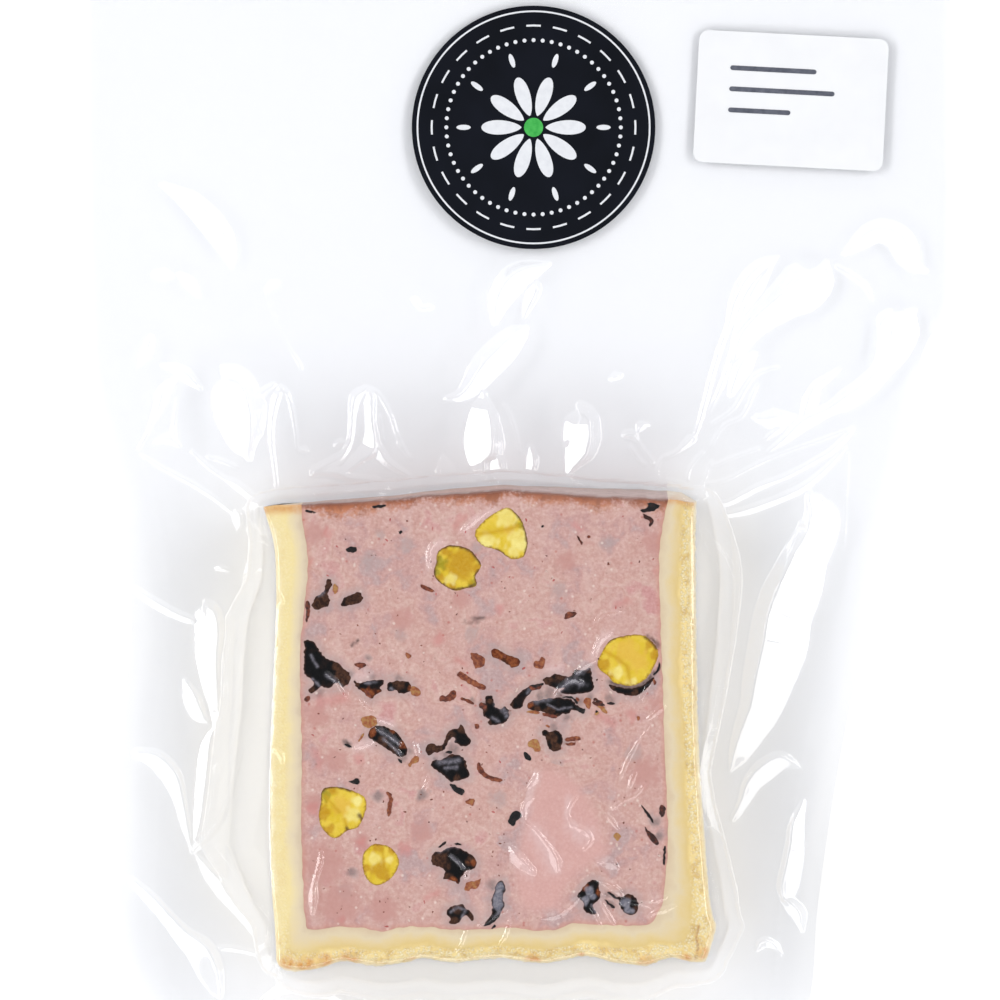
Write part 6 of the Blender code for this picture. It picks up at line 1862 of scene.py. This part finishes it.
def makeLabel(field):
    low, high = boxOf("white_label")
    centre = (low + high)[:2] / 2
    turn = math.radians(label["turn"])
    corner = label["corner"]
    halfX, halfY = label["width"] / 2 - corner, label["height"] / 2 - corner
    loop = []
    for quarter, (sx, sy) in enumerate(((1, 1), (-1, 1), (-1, -1), (1, -1))):
        for a in np.linspace(0, math.pi / 2, 7):
            angle = a + quarter * math.pi / 2
            loop.append((sx * halfX + corner * math.cos(angle), sy * halfY + corner * math.sin(angle)))
    loop = np.array(loop + loop[:1])
    run = np.concatenate([[0], np.cumsum(np.hypot(*np.diff(loop, axis=0).T))])
    t = np.linspace(0, run[-1], 160, endpoint=False)
    loop = np.stack([np.interp(t, run, loop[:, k]) for k in (0, 1)], axis=1)
    spin = np.array([[math.cos(turn), math.sin(turn)], [-math.sin(turn), math.cos(turn)]])
    rings = [centre + (loop * (k + 1) / label["rings"]) @ spin for k in range(label["rings"])]
    material, tree, shader, place = coloured("labelPaper", 0.55, 0.3, (222, 223, 226), (226, 227, 229),
                                             120.0, 0.3, 0.7)
    bumpFrom(tree, shader, noiseAt(tree, place, 2200.0, 3.0)["Fac"], 0.00006, 0.3)
    paper = makeThinPatch("whiteLabel", field, rings, centre, label["lift"], label["thick"], material)
    settle(paper, "white_label")
    grey = makePrintMaterial("greyPrint", (74, 77, 88), (96, 99, 110))
    for index, (x, y, length) in enumerate(label["bars"], 1):
        half, radius = length / 2 - 0.5, 0.5
        outline = []
        for way, start in ((1, -math.pi / 2), (-1, math.pi / 2)):
            outline += [(way * (-half + 2 * half * k / 24), -way * radius) for k in range(25)]
            outline += [(way * half + radius * math.cos(a), radius * math.sin(a))
                        for a in np.linspace(start, start + math.pi, 7)[1:-1]]
        verts, faces = flatShape(outline, ink["thick"])
        verts = np.array(verts)
        verts[:, :2] = (verts[:, :2] + (x, y)) @ spin
        bar = linkMesh(f"labelBar{index}", verts, faces, grey)
        layOnFilm(bar, field, centre, label["lift"] + label["thick"] + ink["lift"])
        outwardFaces(bar, oneShell=False)
        settle(bar, None)
    print("label done")


# Floor, light and camera


def makeFloor():
    size = 3000.0
    verts = [(-size, -size, 0), (size, -size, 0), (size, size, 0), (-size, size, 0)]
    material, tree, shader = newMaterial("paleFloor", 0.9, 0.1)
    cloud = noiseAt(tree, objectPlace(tree), 3.0, 2.0)["Fac"]
    colour = mixColours(tree, cloud, (0.90, 0.90, 0.90, 1), (0.91, 0.91, 0.91, 1))
    tree.links.new(colour, shader.inputs["Base Color"])
    floor = linkMesh("floor", verts, [(0, 1, 2, 3)], material, flat=True)


lights = {
    # a ring of soft boxes, open at the back: the way each one stands (degrees), and its strength
    "ring": [(165, 9.0), (215, 3.5), (270, 3.2), (325, 3.2), (15, 7.8)],
    "away": 1.12, "up": 0.88, "wide": 1.05, "tall": 0.38, "aim": (0, -0.03, 0),
}
# an even pale room with a dimmer ceiling over the camera, by the height of the direction looked in
sky = {"dim": 0.10, "bright": 0.70, "from": 0.97, "to": 0.80, "colour": (0.97, 0.98, 1.0, 1)}


def makeLights():
    for number, (turn, strength) in enumerate(lights["ring"], 1):
        data = bpy.data.lights.new(f"softBox{number}", "AREA")
        data.shape = "RECTANGLE"
        data.size, data.size_y = lights["wide"], lights["tall"]
        data.energy = strength
        lamp = bpy.data.objects.new(data.name, data)
        turn = math.radians(turn)
        lamp.location = (lights["away"] * math.cos(turn), lights["away"] * math.sin(turn), lights["up"])
        lamp.rotation_euler = (Vector(lights["aim"]) - lamp.location).to_track_quat("-Z", "Y").to_euler()
        bpy.context.scene.collection.objects.link(lamp)
    world = bpy.data.worlds.new("studio")
    world.use_nodes = True
    tree = world.node_tree
    look = addNode(tree, "ShaderNodeTexCoord").outputs["Generated"]
    height = addNode(tree, "ShaderNodeSeparateXYZ", {"Vector": look}).outputs["Z"]
    level = addNode(tree, "ShaderNodeMapRange", {
        "Value": height, "From Min": sky["to"], "From Max": sky["from"],
        "To Min": sky["bright"], "To Max": sky["dim"]})
    background = tree.nodes["Background"]
    background.inputs["Color"].default_value = sky["colour"]
    tree.links.new(level.outputs["Result"], background.inputs["Strength"])
    bpy.context.scene.world = world


# straight above the middle of the photograph, from far enough away that heights hardly shift
view = {
    "pixel": 0.2083, "width": 1000,             # one pixel's size, and how many lie across
    "origin": (518.25, 484), "away": 2.5,       # the part's origin in pixels, and the camera's height
}


def makeCamera():
    pixel, half = view["pixel"] * mm, view["width"] / 2
    data = bpy.data.cameras.new("camera")
    data.sensor_width = 36.0
    data.lens = data.sensor_width * view["away"] / (view["width"] * pixel)
    data.clip_end = 20.0
    camera = bpy.data.objects.new("camera", data)
    x, y = view["origin"]
    camera.location = ((half - x) * pixel, (y - half) * pixel, view["away"] + 0.005)
    bpy.context.scene.collection.objects.link(camera)
    bpy.context.scene.camera = camera
    bpy.context.scene.view_settings.view_transform = "Standard"


makeCamera()
makeLights()
makeFloor()
field = filmHeights()
print("film heights done")
loops = gatherLoops()
makeFlecks(*makeMeat(loops))
kernelMaterial, truffleMaterial = makePistachioMaterial(), makeTruffleMaterial()
for number, name in enumerate(pistachios, 1):
    makeSetIn(name, f"pistachioKernel{number}", loops[name], kernelMaterial, 0.33, 0.04,
              lambda x, y: 0.05 * ripple(x, y, 1.6, 81), ("line", "seam", "light", "warm", "green", "deep"))
for number, name in enumerate(truffles, 1):
    makeSetIn(name, f"trufflePiece{number:02d}", loops[name], truffleMaterial, 0.28, 0.0,
              lambda x, y: 0.08 * ripple(x, y, 0.7, 82), ("brown", "rust", "paintedGlint", "paintedSheen"))
leanMaterial = makeMeatMaterial("leanMeat")
lean = makeSetIn("lean_piece", "leanPiece", loops["lean_piece"], leanMaterial, 0.6, 0.0,
                 lambda x, y: 0.03 * ripple(x, y, 2.0, 83) - 0.02, ("paintedGleam",))
flatPlace = np.array([tuple(v.co)[:2] for v in lean.data.vertices]) / mm
setAttribute(lean, "lean", smoothRamp(distanceTo([loops["lean_piece"]], flatPlace) / 3.0))
setAttribute(lean, "down", np.full(len(flatPlace), 0.1))
makeBits("brown", "brownBits", makeBitMaterial("brownBits", [
    (0.0, 52, 28, 24), (0.35, 112, 56, 40), (0.7, 150, 88, 56), (1.0, 166, 124, 74)]))
makeBits("black", "blackBits", makeBitMaterial("blackBits", [
    (0.0, 12, 10, 12), (0.4, 40, 26, 24), (1.0, 86, 56, 46)]))
makePastry()
makeFilm(field)
makeSticker(field)
makeLabel(field)
